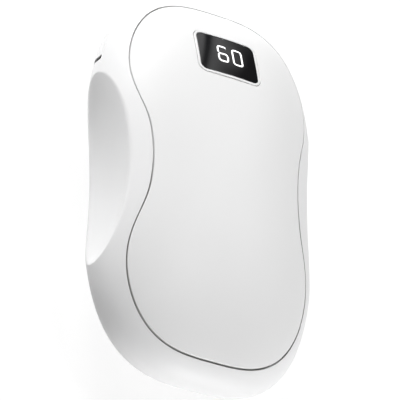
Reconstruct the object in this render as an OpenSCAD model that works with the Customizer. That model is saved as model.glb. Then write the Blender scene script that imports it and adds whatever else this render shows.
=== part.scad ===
// Rechargeable hand warmer, lying on its back: X is its width, Y its length with the display end
// at +Y, and Z its thickness. The origin is under the middle of the resting flat.

/* [Housing] */
// Length of the housing
body_l = 104; // [98:1:112]
// Width of the housing before the finger scoops are cut
body_w = 62; // [60:1:68]
// Thickness from the front crown to the back crown
body_t = 34; // [32:0.5:40]
// Squareness of the outline seen from the front, where 2 is an ellipse
outline_power = 3; // [2.8:0.1:3.4]
// Thickness of the housing wall
wall = 1.8; // [1.4:0.1:2.2]
// How far the back is flattened where it rests
rest_depth = 0.4; // [0.3:0.05:0.6]

/* [Finger scoops] */
// Length of a scoop's rim along the side
scoop_l = 51; // [46:0.5:54]
// Height of a scoop's rim from back to front
scoop_h = 19; // [17:0.5:20]
// Depth of a scoop below the uncut side
scoop_depth = 8; // [6:0.25:8.5]
// Sideways radius of the bowl that cuts a scoop
scoop_bowl = 12; // [11:0.5:14]
// Offset of the scoops along the length
scoop_y = -0.6; // [-2:0.1:1]
// Softening of a scoop's rim
rim_soft = 0.8; // [0.4:0.1:1.2]

/* [Heating panels] */
// Distance from the outline to the edge of a panel
panel_inset = 4.6; // [4.2:0.1:5.2]
// How much less a panel's waist draws in than a scoop does
waist_ease = 2; // [1.5:0.25:3]
// How much shorter a panel's waist is than a scoop, at each end
waist_short = 2.5; // [1:0.5:4]
// Thickness of a panel
panel_t = 1.6; // [1.3:0.1:2]
// Gap round a panel
panel_gap = 0.25; // [0.15:0.05:0.35]
// Gap between a panel and the ledge that it sits on
seat_gap = 0.1; // [0.05:0.05:0.2]
// Width of the ledge
ledge_w = 2; // [1.6:0.1:2.4]
// Thickness of the ledge
ledge_t = 1.5; // [1.2:0.1:1.8]
// Width of a snap hook
hook_w = 5; // [4:0.5:7]
// Thickness of a snap hook
hook_t = 1.2; // [1:0.1:1.5]
// Reach of a snap hook's barb under the ledge
hook_barb = 0.7; // [0.5:0.1:0.9]
// Thickness of a heat plate
plate_t = 0.8; // [0.6:0.1:1]
// Thickness of a heating film
film_t = 0.3; // [0.2:0.05:0.4]
// Gap between layers that are glued or soldered to each other
layer_gap = 0.05; // [0.03:0.01:0.08]
// Thickness of the glue between a panel and its heat plate
glue_t = 0.3; // [0.25:0.05:0.4]
// Thickness of a foam pad at its middle
pad_t = 4.35; // [4:0.05:5]
// Distance from the edge of a panel to the edge of its heat plate
plate_inset = 4.2; // [3.8:0.1:5]

/* [Display] */
// Distance from the end of the housing to the middle of the display
display_inset = 19.5; // [18.5:0.5:21]
// Width of the display's lens
lens_w = 16.5; // [14:0.5:18]
// Height of the display's lens
lens_h = 12; // [11:0.5:13]
// Corner radius of the lens
lens_r = 1.7; // [1.2:0.1:2.2]
// Thickness of the lens
lens_t = 1; // [0.8:0.1:1.2]
// Crown radius of the lens
crown_r = 110; // [90:5:140]
// Width of the bezel's rim
bezel_w = 0.6; // [0.5:0.05:0.8]
// How far the bezel stands proud of the panel
bezel_rise = 0.15; // [0.1:0.05:0.3]
// Height of a digit
digit_h = 5.2; // [4.5:0.1:6]
// Width of a digit
digit_w = 3; // [2.5:0.1:3.5]
// Distance between the two digits
digit_pitch = 4.2; // [4.2:0.1:4.6]
// Width of a digit's stroke
stroke_w = 0.45; // [0.35:0.05:0.6]
// Thickness of the block of light guides
block_t = 2.2; // [1.8:0.1:2.6]

/* [Cells] */
// Share of the body's length that the cells take
cell_share = 0.625; // [0.6:0.005:0.63]
// Gap between the cradle and the wall behind the deepest point of a scoop
grip_room = 1.1; // [0.8:0.1:1.6]
// Gap between the cells
cell_gap = 0.4; // [0.3:0.1:0.6]
// Distance of the cells' middle from the middle of the housing, towards the bottom end
cell_shift = 2; // [1.5:0.25:2.25]
// Thickness of the cradle's side walls
cradle_wall = 1.4; // [1.2:0.1:1.6]
// Height of the cradle's walls
cradle_h = 10; // [8:0.5:11]
// Thickness of the links welded across the cells
link_t = 0.3; // [0.2:0.05:0.4]

/* [Board] */
// Thickness of the main board
board_t = 1; // [0.8:0.1:1.2]
// Width of the main board past the middle of its screws
board_lip = 3.5; // [3:0.25:4]
// Distance from the wall to the curved corners of the main board
board_edge = 1; // [0.8:0.1:1.5]
// Width of the charging socket
usb_w = 8.9; // [8.7:0.1:9.1]
// Height of the charging socket
usb_h = 3.2; // [3:0.1:3.3]
// Length of the charging socket
usb_l = 7.4; // [6.5:0.1:8]
// Diameter of the wires
wire_d = 1.2; // [0.8:0.1:1.4]
// Diameter of a case screw's thread
screw_d = 2; // [1.8:0.1:2.2]

/* [Power button] */
// Place of the button from a scoop's end to the housing's end, as a share of that way
button_share = 0.46; // [0.44:0.01:0.48]
// Length of the button
button_l = 8; // [7:0.25:8.5]
// Height of the button
button_h = 4.4; // [4:0.1:4.8]
// Gap round the button
button_gap = 0.2; // [0.15:0.05:0.3]
// How far the button stands proud of the side
button_rise = 0.5; // [0.3:0.05:0.7]
// Travel of the button
button_travel = 0.5; // [0.3:0.05:0.6]

/* [Lanyard slot] */
// Place of the slot from a scoop's end to the housing's end, as a share of that way
slot_share = 0.335; // [0.32:0.005:0.36]
// Offset of the slot from the middle plane, towards the front
slot_z = -1; // [-1.5:0.25:0.5]
// Width of the slot, along the thickness of the housing
slot_w = 4.6; // [4:0.1:5]
// Height of the tunnel behind the bar
slot_h = 1; // [0.8:0.1:1.2]
// Thickness of the bar in front of the tunnel
bar_t = 1.7; // [1.5:0.1:1.9]
// Radius that the tunnel bends on
slot_bend = 4.2; // [4:0.1:4.6]

/* [Hidden] */

// One overrun serves every cut that has to pass a face
over = 1;
// Half sizes of the body, and the height of its middle plane above the resting flat
half_w = body_w / 2;
half_l = body_l / 2;
half_t = body_t / 2;
mid_z = half_t - rest_depth;
// The display keeps its distance from the end, and the button and the slot lie past the scoops
display_y = half_l - display_inset;
scoop_end = scoop_y + scoop_l / 2;
button_y = scoop_end + (half_l - scoop_end) * button_share;
slot_y = scoop_end + (half_l - scoop_end) * slot_share;
// A panel's waist is pinched along the scoops
waist_pinch = scoop_depth - waist_ease;
waist_reach = scoop_l / 2 - waist_short;
// Depths under the crown of the heat plate, the heating film and the pad
plate_drop = panel_t + glue_t;
film_drop = plate_drop + plate_t + layer_gap;
pad_drop = film_drop + film_t + glue_t;
// A cell is as long as its room, and as thick as fits between the pads and between the scoops
cradle_gap = 0.1;
cell_l = body_l * cell_share;
cell_d = min(
    body_t - 2 * (pad_drop + pad_t + seat_gap),
    half_w - scoop_depth - wall - grip_room - cradle_wall - cradle_gap - cell_gap / 2
);

// Steps round the housing and the panels, and down their profiles
round_steps = 80;
upper_steps = 4;
scoop_steps = 5;
inner_steps = 4;
panel_rings = 6;
plate_steps = 48;
plate_rings = 5;
pad_steps = 32;
pad_rings = 3;
band_share = 0.15;
corner_steps = 5;
// Rounding of a stadium's ends, as a share of its height
stadium_share = 0.48;

function outline_at(t, w, l) =
    pow(pow(abs(cos(t)) / w, outline_power) + pow(abs(sin(t)) / l, outline_power), -1 / outline_power);
function outline(t) = outline_at(t, half_w, half_l);
function dome_z(t, r) = half_t * sqrt(max(0, 1 - pow(r / outline(t), 2)));
function soft_min(p, q, k) = let (h = max(k - abs(p - q), 0) / k) min(p, q) - h * h * k / 4;
function mix(p, q, s) = p + (q - p) * s;

// Half width of the outline, or of the same outline drawn in, at a place along the length
function side_x(y, inset) =
    (half_w - inset) * pow(1 - pow(y / (half_l - inset), outline_power), 1 / outline_power);

// The bowl that cuts a scoop is an ellipsoid centred outside the housing
bowl_x = half_w - scoop_depth + scoop_bowl;
rim_x_side = half_w * sqrt(1 - pow(scoop_h / body_t, 2));
rim_x_end = side_x(scoop_l / 2, 0);
bowl_h = scoop_h / 2 / sqrt(1 - pow((bowl_x - rim_x_side) / scoop_bowl, 2));
bowl_l = scoop_l / 2 / sqrt(1 - pow((bowl_x - rim_x_end) / scoop_bowl, 2));
function bowl_r(t, z, grow) =
    let (
        w = scoop_bowl + grow, l = bowl_l + grow, h = bowl_h + grow,
        dx = abs(cos(t)) / w, dy = sin(t) / l,
        ox = bowl_x / w, oy = scoop_y / l, oz = z / h,
        qa = dx * dx + dy * dy,
        qb = dx * ox + dy * oy,
        qc = ox * ox + oy * oy + oz * oz - 1,
        disc = qb * qb - qa * qc
    )
    disc > 0 && qb > 0 ? (qb - sqrt(disc)) / qa : body_l;
function outer_r(t, z) =
    soft_min(outline(t) * sqrt(1 - pow(z / half_t, 2)), bowl_r(t, z, 0), rim_soft);
function inner_r(t, z) =
    soft_min(
        outline_at(t, half_w - wall, half_l - wall) * sqrt(1 - pow(z / (half_t - wall), 2)),
        bowl_r(t, z, wall), rim_soft
    );

// Edge of a heating panel: the outline drawn in, and pinched at the waist
waist_power = 6;
function panel_r(t) =
    let (r = outline(t))
    r - panel_inset - waist_pinch / (1 + pow(r * sin(t) / waist_reach, waist_power));

// Height of a scoop's rim at each angle, and of a shallow band where there is no scoop
function rim_share(y) = sqrt(max(0, 1 - pow((y - scoop_y) * 2 / scoop_l, 2)));
function rim_z(t) =
    let (
        first = rim_share(outline(t) * sin(t)) * scoop_h / 2,
        r = outline(t) * sqrt(1 - pow(first / half_t, 2))
    )
    max(rim_share(r * sin(t)) * scoop_h / 2, band_share * half_t);

// One closed profile of the housing in the plane at angle t, as [radius, height] points
function housing_half(t) =
    let (
        edge = panel_r(t) + panel_gap,
        top = dome_z(t, edge),
        rim = rim_z(t)
    )
    concat(
        [for (i = [0:upper_steps - 1]) let (z = mix(top, rim, i / upper_steps)) [outer_r(t, z), z]],
        [for (i = [0:scoop_steps - 1]) let (z = rim * (1 - i / scoop_steps)) [outer_r(t, z), z]]
    );
function ledge_half(t) =
    let (
        edge = panel_r(t) + panel_gap,
        lip = panel_r(t) - ledge_w,
        drop = panel_t + seat_gap,
        low = dome_z(t, edge) - drop - ledge_t
    )
    concat(
        [for (i = [0:inner_steps - 1])
            let (z = low * (i + 1) / inner_steps) [inner_r(t, z), z]],
        [
            [lip, dome_z(t, lip) - drop - ledge_t],
            [lip, dome_z(t, lip) - drop],
            [edge, dome_z(t, edge) - drop]
        ]
    );
function flip(points) = [for (i = [len(points) - 1:-1:0]) [points[i][0], -points[i][1]]];
function housing_profile(t) =
    concat(
        housing_half(t), [[outer_r(t, 0), 0]], flip(housing_half(t)),
        flip(ledge_half(t)), [[inner_r(t, 0), 0]], ledge_half(t)
    );

// Skin through closed profiles that stand all the way round
module ring_solid(profiles) {
    n = len(profiles);
    m = len(profiles[0]);
    points = [
        for (i = [0:n - 1]) for (p = profiles[i])
            [p[0] * cos(360 * i / n), p[0] * sin(360 * i / n), p[1]]
    ];
    faces = [
        for (i = [0:n - 1]) for (j = [0:m - 1])
            let (i2 = (i + 1) % n, j2 = (j + 1) % m)
            each [
                [i * m + j, i2 * m + j, i2 * m + j2],
                [i * m + j, i2 * m + j2, i * m + j2]
            ]
    ];
    polyhedron(points, faces);
}

// Domed sheet that follows the crown: share is its outline as a part of the panel's edge less
// an inset, drop is how far its top lies under the crown, and under gives its lower side's height
module domed_sheet(steps, rings, share, inset, tops, unders) {
    n = steps;
    half = 1 + n * rings;
    function ring_r(i, k) = (panel_r(360 * i / n) * share - inset) * sin(90 * k / rings);
    points = [
        for (side = [tops, unders]) each concat(
            [[0, 0, side(0, 0)]],
            [for (k = [1:rings]) for (i = [0:n - 1])
                let (t = 360 * i / n, r = ring_r(i, k)) [r * cos(t), r * sin(t), side(t, r)]]
        )
    ];
    function at(k, i) = 1 + (k - 1) * n + i % n;
    faces = concat(
        [for (i = [0:n - 1]) [0, at(1, i + 1), at(1, i)]],
        [for (k = [1:rings - 1]) for (i = [0:n - 1]) each [
            [at(k, i), at(k, i + 1), at(k + 1, i + 1)],
            [at(k, i), at(k + 1, i + 1), at(k + 1, i)]
        ]],
        [for (i = [0:n - 1]) [half, half + at(1, i), half + at(1, i + 1)]],
        [for (k = [1:rings - 1]) for (i = [0:n - 1]) each [
            [half + at(k, i), half + at(k + 1, i + 1), half + at(k, i + 1)],
            [half + at(k, i), half + at(k + 1, i), half + at(k + 1, i + 1)]
        ]],
        [for (i = [0:n - 1]) each [
            [at(rings, i), at(rings, i + 1), half + at(rings, i + 1)],
            [at(rings, i), half + at(rings, i + 1), half + at(rings, i)]
        ]]
    );
    polyhedron(points, faces);
}

// Everything is drawn about the middle plane and then lifted on to the resting flat
module lifted() {
    translate([0, 0, mid_z]) children();
}
// What faces the back is the front's mirror image
module backwards() {
    mirror([0, 0, 1]) children();
}

function rounded_points(w, h, r) = [
    for (q = [0:3]) for (s = [0:corner_steps])
        let (
            a = 90 * (q + s / corner_steps),
            x = (w / 2 - r) * (q == 0 || q == 3 ? 1 : -1),
            y = (h / 2 - r) * (q < 2 ? 1 : -1)
        )
        [x + r * cos(a), y + r * sin(a)]
];
// Upright bar with rounded corners, from height low to height high
module rounded_bar(w, h, r, low, high) {
    translate([0, 0, low]) linear_extrude(high - low) polygon(rounded_points(w, h, r));
}
// Box given by its middle in X and Y, its size, and the height of its foot
module block(x, y, w, l, low, h) {
    translate([x - w / 2, y - l / 2, low]) cube([w, l, h]);
}
// Round wire on a smooth curve through a list of points, none of whose stretches runs along X
wire_sides = 8;
wire_steps = 4;
function wire_point(p, i, s) =
    let (n = len(p) - 1, a = p[max(i - 1, 0)], b = p[i], c = p[i + 1], d = p[min(i + 2, n)])
    b + (c - a) * s / 2 + (a - b * 5 / 2 + c * 2 - d / 2) * s * s
        + (b * 3 - a - c * 3 + d) * s * s * s / 2;
module wire(p) {
    path = concat(
        [for (i = [0:len(p) - 2]) for (s = [0:wire_steps - 1]) wire_point(p, i, s / wire_steps)],
        [p[len(p) - 1]]
    );
    n = len(path);
    points = [
        for (i = [0:n - 1])
            let (
                d = path[min(i + 1, n - 1)] - path[max(i - 1, 0)],
                u = cross(d, [1, 0, 0]) / norm(cross(d, [1, 0, 0])),
                v = cross(d, u) / norm(d)
            )
            for (k = [0:wire_sides - 1])
                path[i] + (u * cos(360 * k / wire_sides) + v * sin(360 * k / wire_sides)) * wire_d / 2
    ];
    function at(i, k) = i * wire_sides + k % wire_sides;
    faces = concat(
        [for (i = [0:n - 2]) for (k = [0:wire_sides - 1]) each [
            [at(i, k), at(i + 1, k + 1), at(i, k + 1)],
            [at(i, k), at(i + 1, k), at(i + 1, k + 1)]
        ]],
        [[for (k = [0:wire_sides - 1]) at(0, k)], [for (k = [wire_sides - 1:-1:0]) at(n - 1, k)]]
    );
    polyhedron(points, faces);
}

// Cells lie side by side with their plus ends at the display end, in a cradle that closes on them
cell_x = (cell_d + cell_gap) / 2;
cell_low = -cell_shift - cell_l / 2;
cell_high = cell_low + cell_l;
link_top_y = cell_high + layer_gap + link_t / 2;
link_bottom_y = cell_low - layer_gap - link_t / 2;
cradle_end = 1.2;
cradle_x = cell_x + cell_d / 2 + cradle_gap + cradle_wall;
cradle_high = link_top_y + link_t / 2 + cradle_gap + cradle_end;
cradle_low = link_bottom_y - link_t / 2 - cradle_gap - cradle_end;

// Screw bosses stand in the corners past the cradle's lower end, and likewise at the upper end
boss_r = 2.3;
boss_margin = 2.2;
boss_side = 2.7;
boss_floor = 0.6;
boss_y = boss_r + boss_margin - cradle_low;
boss_x = side_x(boss_y, wall) - boss_r - boss_side;
boss_angle = atan2(boss_y, boss_x);
boss_foot = dome_z(boss_angle, panel_r(boss_angle) + panel_gap) - panel_t - 2 * seat_gap;
pilot_depth = boss_foot - boss_floor;
pilot_spare = 0.4;
screw_reach = pilot_depth - pilot_spare;
screw_gap = 0.03;
module at_bosses(ends) {
    for (sx = [-1, 1]) for (sy = ends) translate([sx * boss_x, sy * boss_y, 0]) children();
}

// The lanyard tunnel bends in under a bar that stays flush with the side
slot_x = side_x(slot_y, 0);
slot_angle = atan2(
    pow(slot_y, outline_power - 1) / pow(half_l, outline_power),
    pow(slot_x, outline_power - 1) / pow(half_w, outline_power)
);
slot_wall = 1.5;
slot_block_l = 2 * (sqrt(pow(slot_bend + slot_h, 2) - pow(slot_bend - bar_t, 2)) + slot_wall);
slot_front_share = 0.9;
module at_slot() {
    translate([-slot_x, slot_y, slot_z]) rotate([0, 0, 180 - slot_angle]) children();
}
module slot_block() {
    deep = bar_t + slot_h + slot_wall;
    front = wall * slot_front_share;
    at_slot() translate([-deep, -slot_block_l / 2, -slot_w / 2 - slot_wall])
        cube([deep - front, slot_block_l, slot_w + 2 * slot_wall]);
}
module slot_tunnel() {
    at_slot() translate([slot_bend - bar_t, 0, -slot_w / 2]) difference() {
        cylinder(r = slot_bend + slot_h, h = slot_w, $fn = 64);
        translate([0, 0, -over]) cylinder(r = slot_bend, h = slot_w + 2 * over, $fn = 64);
    }
}

// The button is pushed square to the side
button_x = side_x(button_y, 0);
button_slope_x = pow(button_x, outline_power - 1) / pow(half_w, outline_power);
button_slope_y = pow(button_y, outline_power - 1) / pow(half_l, outline_power);
button_angle = atan2(button_slope_y, button_slope_x);
button_crown = half_t * half_t * norm([button_slope_x, button_slope_y]);
button_seat = 1.2;
button_flange_t = 0.8;
button_tab = 0.9;
stem_d = 2.4;
stem_l = 0.7;
module at_button() {
    translate([button_x, button_y, 0]) rotate([0, 0, button_angle]) children();
}
// Stadium bar along local X, from depth low to depth high
module side_bar(l, h, low, high) {
    translate([low, 0, 0]) rotate([90, 0, 90])
        linear_extrude(high - low) polygon(rounded_points(l, h, h * stadium_share));
}

// The charging socket hangs under the main board at the display end
ear_t = 1.5;
board_z = ear_t + layer_gap;
usb_z = board_z - layer_gap - usb_h / 2;
usb_gap = 0.15;
usb_recess = 0.5;
usb_skin = 0.3;
module along_y(low, high) {
    translate([0, high, usb_z]) rotate([90, 0, 0]) linear_extrude(high - low) children();
}
module stadium(w, h) {
    polygon(rounded_points(w, h, h * stadium_share));
}

module housing() {
    color("white") lifted() difference() {
        union() {
            ring_solid([for (i = [0:round_steps - 1]) housing_profile(360 * i / round_steps)]);
            at_bosses([-1, 1]) translate([0, 0, -boss_foot])
                cylinder(r = boss_r, h = boss_foot - layer_gap, $fn = 32);
            slot_block();
        }
        at_bosses([-1, 1]) translate([0, 0, -pilot_depth])
            cylinder(d = screw_d + 2 * screw_gap, h = pilot_depth + over, $fn = 32);
        slot_tunnel();
        at_button() side_bar(button_l + 2 * button_gap, button_h + 2 * button_gap,
            -wall - button_seat, over);
        along_y(half_l - wall - over, half_l + over)
            stadium(usb_w + 2 * usb_gap, usb_h + 2 * usb_gap);
    }
}

// The display lies in the slope of the front panel
display_z = half_t * sqrt(1 - pow(display_y / half_l, 2));
display_tilt = atan(half_t * half_t * display_y / (half_l * half_l * display_z));
module at_display() {
    translate([0, display_y, display_z]) rotate([-display_tilt, 0, 0]) children();
}
lens_gap = 0.05;
lens_sink = 0.06;
bezel_shelf = 0.7;
flange_drop = 0.65;
flange_t = 0.7;
flange_reach = 0.8;
rim_w = lens_w + 2 * (lens_gap + bezel_w);
rim_h = lens_h + 2 * (lens_gap + bezel_w);
rim_r = lens_r + lens_gap + bezel_w;
bezel_depth = panel_t + flange_drop + flange_t;
block_w = lens_w - 2 * (bezel_shelf + lens_gap);
block_h = lens_h - 2 * (bezel_shelf + lens_gap);
block_top = lens_t + 2 * layer_gap;
display_board_t = 0.8;
display_board_top = max(block_top + block_t, bezel_depth) + layer_gap;
display_stack = display_board_top + display_board_t;
// Cap whose top is the crown of the lens and the bezel
crown_steps = 8;
module crown(rise) {
    reach = lens_w;
    top = [
        for (i = [crown_steps:-1:0])
            let (x = reach * i / crown_steps)
            [x, rise - crown_r + sqrt(crown_r * crown_r - x * x)]
    ];
    rotate_extrude($fn = 96) polygon(concat([[0, -reach], [reach, -reach]], top));
}
module window_cut(grow) {
    at_display() rounded_bar(rim_w + 2 * grow, rim_h + 2 * grow, rim_r + grow, -lens_w, lens_w);
}

// Snap hook under a panel at angle t: a post inside the ledge, and a barb under it
function ledge_under(t, r) =
    let (
        lip = panel_r(t) - ledge_w,
        edge = panel_r(t) + panel_gap,
        drop = panel_t + seat_gap + ledge_t,
        low = dome_z(t, edge) - drop,
        high = dome_z(t, lip) - drop
    )
    mix(high, low, (r - lip) / (inner_r(t, low) - lip));
module hook(t) {
    lip = panel_r(t) - ledge_w - seat_gap;
    top = dome_z(t, lip) - panel_t / 2;
    barb_z = ledge_under(t, lip + seat_gap + hook_barb) - seat_gap;
    rotate([0, 0, t]) {
        translate([lip - hook_t, -hook_w / 2, barb_z - hook_t])
            cube([hook_t, hook_w, top - barb_z + hook_t]);
        translate([lip - hook_t, -hook_w / 2, barb_z - hook_t])
            cube([hook_t + seat_gap + hook_barb, hook_w, hook_t]);
    }
}
module panel(flat_z) {
    domed_sheet(round_steps, panel_rings, 1, 0,
        function (t, r) min(dome_z(t, r), flat_z), function (t, r) dome_z(t, r) - panel_t);
    for (t = [0:90:270]) hook(t);
}
module front_panel() {
    color("white") lifted() difference() {
        panel(half_t);
        window_cut(panel_gap);
    }
}
module rear_panel() {
    color("white") lifted() backwards() panel(mid_z);
}

// Under each panel lie its heat plate, its heating film and a pad that presses them up
pad_room = 3.2;
pad_share = (display_y - rim_h / 2 - flange_reach - pad_room) / panel_r(90);
module sheet_under(drop, t) {
    domed_sheet(plate_steps, plate_rings, 1, plate_inset,
        function (a, r) dome_z(a, r) - drop, function (a, r) dome_z(a, r) - drop - t);
}
module heat_plate() {
    sheet_under(plate_drop, plate_t);
}
module heating_film() {
    sheet_under(film_drop, film_t);
}
module pad() {
    domed_sheet(pad_steps, pad_rings, pad_share, 0,
        function (t, r) dome_z(t, r) - pad_drop, function (t, r) cell_d / 2 + seat_gap);
}
module front_heat_plate() {
    color("silver") lifted() difference() {
        heat_plate();
        window_cut(flange_reach + panel_gap);
    }
}
module rear_heat_plate() {
    color("silver") lifted() backwards() heat_plate();
}
module front_heating_film() {
    color("sandybrown") lifted() difference() {
        heating_film();
        window_cut(flange_reach + panel_gap);
    }
}
module rear_heating_film() {
    color("sandybrown") lifted() backwards() heating_film();
}
module front_pad() {
    color("dimgray") lifted() pad();
}
module rear_pad() {
    color("dimgray") lifted() backwards() pad();
}

module display_bezel() {
    color("white") lifted() at_display() {
        difference() {
            intersection() {
                rounded_bar(rim_w, rim_h, rim_r, -bezel_depth, over);
                crown(bezel_rise);
            }
            rounded_bar(lens_w + 2 * lens_gap, lens_h + 2 * lens_gap, lens_r + lens_gap,
                -lens_t - layer_gap, 2 * over);
            rounded_bar(lens_w - 2 * bezel_shelf, lens_h - 2 * bezel_shelf, lens_r - bezel_shelf,
                -bezel_depth - over, over);
        }
        difference() {
            rounded_bar(rim_w + 2 * flange_reach, rim_h + 2 * flange_reach, rim_r + flange_reach,
                -bezel_depth, -bezel_depth + flange_t);
            rounded_bar(rim_w - bezel_w, rim_h - bezel_w, rim_r - bezel_w / 2,
                -bezel_depth - over, over);
        }
    }
}

// The reading, a six and a nought, in strokes with round corners and a nick where segments meet
digits_x = 0.7;
digits_up = 0.5;
digit_r = 0.9;
nick = 0.12;
slot_clear = 0.02;
guide_depth = 1;
// Closed loop of stroke, from height low to height high
module loop(low, high, grow) {
    w = digit_w + 2 * grow;
    h = high - low + 2 * grow;
    thick = stroke_w + 2 * grow;
    translate([0, (low + high) / 2]) difference() {
        polygon(rounded_points(w, h, digit_r + grow));
        polygon(rounded_points(w - 2 * thick, h - 2 * thick, digit_r - stroke_w));
    }
}
module nick_at(x, w, low, high, grow) {
    translate([x, low + grow]) square([w, high - low - 2 * grow]);
}
module digit_zero(grow) {
    difference() {
        loop(-digit_h / 2, digit_h / 2, grow);
        nick_at(-digit_w, 2 * digit_w, -nick / 2, nick / 2, grow);
    }
}
module digit_six(grow) {
    mid = stroke_w / 2;
    difference() {
        loop(-digit_h / 2, digit_h / 2, grow);
        nick_at(-digit_w, 2 * digit_w, -digit_h, mid + nick, grow);
        nick_at(digit_w / 2 - stroke_w + grow, digit_w, 0, digit_h, grow);
    }
    difference() {
        loop(-digit_h / 2, mid, grow);
        nick_at(-digit_w, digit_w / 2 + digit_r, -mid - nick, -mid, grow);
    }
}
module digits_flat(grow) {
    translate([digits_x - digit_pitch / 2, digits_up]) digit_six(grow);
    translate([digits_x + digit_pitch / 2, digits_up]) digit_zero(grow);
}
module digits_bar(grow, low, high) {
    translate([0, 0, low]) linear_extrude(high - low) digits_flat(grow);
}
module display_lens() {
    color("black") lifted() at_display() difference() {
        intersection() {
            rounded_bar(lens_w, lens_h, lens_r, -lens_t, over);
            crown(bezel_rise - lens_sink);
        }
        digits_bar(slot_clear, -lens_t - over, over);
    }
}
module display_digits() {
    color("whitesmoke") lifted() at_display() intersection() {
        digits_bar(0, -block_top - guide_depth, over);
        crown(bezel_rise - lens_sink);
    }
}
module display_block() {
    color("black") lifted() at_display() difference() {
        rounded_bar(block_w, block_h, lens_r - bezel_shelf - lens_gap, -block_top - block_t,
            -block_top);
        digits_bar(slot_clear, -block_top - block_t - over, over);
    }
}
module display_board() {
    color("darkgreen") lifted() at_display()
        rounded_bar(rim_w, rim_h, rim_r, -display_stack, -display_board_top);
}

// Height of the display board's underside over a place on the main board
function display_under(y) =
    display_z - display_stack * cos(display_tilt)
        - (y - display_y + display_stack * sin(display_tilt)) * tan(display_tilt);
header_shift = 3.5;
header_w = 8.4;
header_l = 2.4;
pin_w = 0.6;
pin_count = 4;
module display_header() {
    y = display_y + header_shift;
    top = display_under(y + header_l / 2) - seat_gap;
    foot = board_z + board_t + layer_gap;
    color("goldenrod") lifted() {
        block(0, y, header_w, header_l, foot, top - foot - pin_w);
        for (i = [0:pin_count - 1])
            block(header_w * ((i + 0.5) / pin_count - 0.5), y, pin_w, pin_w, top - 2 * pin_w, 2 * pin_w);
    }
}

cell_edge = 0.6;
cell_nub_h = 0.9;
cell_nub_r = 2.8;
crimp_y = 4.4;
crimp_depth = 0.5;
module battery_cell(side) {
    r = cell_d / 2;
    shoulder = cell_l - cell_nub_h;
    color("teal") lifted() translate([side * cell_x, cell_low, 0]) rotate([-90, 0, 0])
        rotate_extrude($fn = 48) polygon([
            [0, 0], [r - cell_edge, 0], [r, cell_edge],
            [r, shoulder - crimp_y - cell_edge], [r - crimp_depth, shoulder - crimp_y],
            [r, shoulder - crimp_y + cell_edge],
            [r, shoulder - cell_edge], [r - cell_edge, shoulder],
            [cell_nub_r, shoulder], [cell_nub_r, cell_l], [0, cell_l]
        ]);
}
module battery_cell_left() {
    battery_cell(-1);
}
module battery_cell_right() {
    battery_cell(1);
}
module cell_washers() {
    t = cell_nub_h / 2;
    color("white") lifted() for (side = [-1, 1])
        translate([side * cell_x, cell_high - cell_nub_h + layer_gap, 0]) rotate([-90, 0, 0])
            difference() {
                cylinder(r = cell_d / 2 - cell_edge, h = t, $fn = 48);
                translate([0, 0, -over]) cylinder(r = cell_nub_r + seat_gap, h = t + 2 * over, $fn = 48);
            }
}
link_over = 3.1;
link_h = 6;
tab_w = 4;
top_tab_x = 3;
groove_drop = 1;
groove_z = cell_d / 2 - groove_drop;
tab_top = groove_z - wire_d / 2;
module cell_link(y, tab_x) {
    block(0, y, 2 * (cell_x + link_over), link_t, -link_h / 2, link_h);
    block(tab_x, y, tab_w, link_t, 0, tab_top);
}
module cell_link_top() {
    color("silver") lifted() cell_link(link_top_y, top_tab_x);
}
module cell_link_bottom() {
    color("silver") lifted() cell_link(link_bottom_y, 0);
}

ear_r = 2.6;
arm_w = 4;
module cradle_arm(sx, sy) {
    inner = sy > 0 ? cradle_high - cradle_end : -cradle_low - cradle_end;
    reach = boss_y - inner + ear_r;
    x = boss_x - ear_r - arm_w / 2;
    translate([sx * x - arm_w / 2, sy > 0 ? inner : -inner - reach, 0]) cube([arm_w, reach, ear_t]);
    translate([sx > 0 ? x : -boss_x, sy * boss_y - ear_r, 0]) cube([boss_x - x, 2 * ear_r, ear_t]);
}
module battery_cradle() {
    color("gray") lifted() difference() {
        union() {
            translate([-cradle_x, cradle_low, -cradle_h / 2])
                cube([2 * cradle_x, cradle_high - cradle_low, cradle_h]);
            for (sx = [-1, 1]) for (sy = [-1, 1]) cradle_arm(sx, sy);
            at_bosses([-1, 1]) cylinder(r = ear_r, h = ear_t, $fn = 32);
        }
        for (side = [-1, 1]) translate([side * cell_x, cradle_low + cradle_end, 0])
            rotate([-90, 0, 0]) cylinder(
                r = cell_d / 2 + cradle_gap, h = cradle_high - cradle_low - 2 * cradle_end, $fn = 64);
        translate([-cell_x, cradle_low + cradle_end, -cradle_h])
            cube([2 * cell_x, cradle_high - cradle_low - 2 * cradle_end, 2 * cradle_h]);
        at_bosses([-1, 1]) translate([0, 0, -over])
            cylinder(d = screw_d + 2 * cradle_gap, h = ear_t + 2 * over, $fn = 32);
    }
}

// Cross-head screws: two through the board, the cradle and the bosses, two through the cradle
head_r = 1.9;
head_h = 1.3;
cross_w = 0.45;
cross_l = 2;
cross_depth = 0.7;
neck = 0.2;
module screw(seat) {
    difference() {
        union() {
            translate([0, 0, -screw_reach]) cylinder(d = screw_d, h = screw_reach + seat + neck, $fn = 32);
            translate([0, 0, seat]) cylinder(r = head_r, h = head_h, $fn = 32);
        }
        block(0, 0, cross_l, cross_w, seat + head_h - cross_depth, over);
        block(0, 0, cross_w, cross_l, seat + head_h - cross_depth, over);
    }
}
module case_screws() {
    color("silver") lifted() {
        at_bosses([1]) screw(board_z + board_t + layer_gap);
        at_bosses([-1]) screw(ear_t + layer_gap);
    }
}

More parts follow.
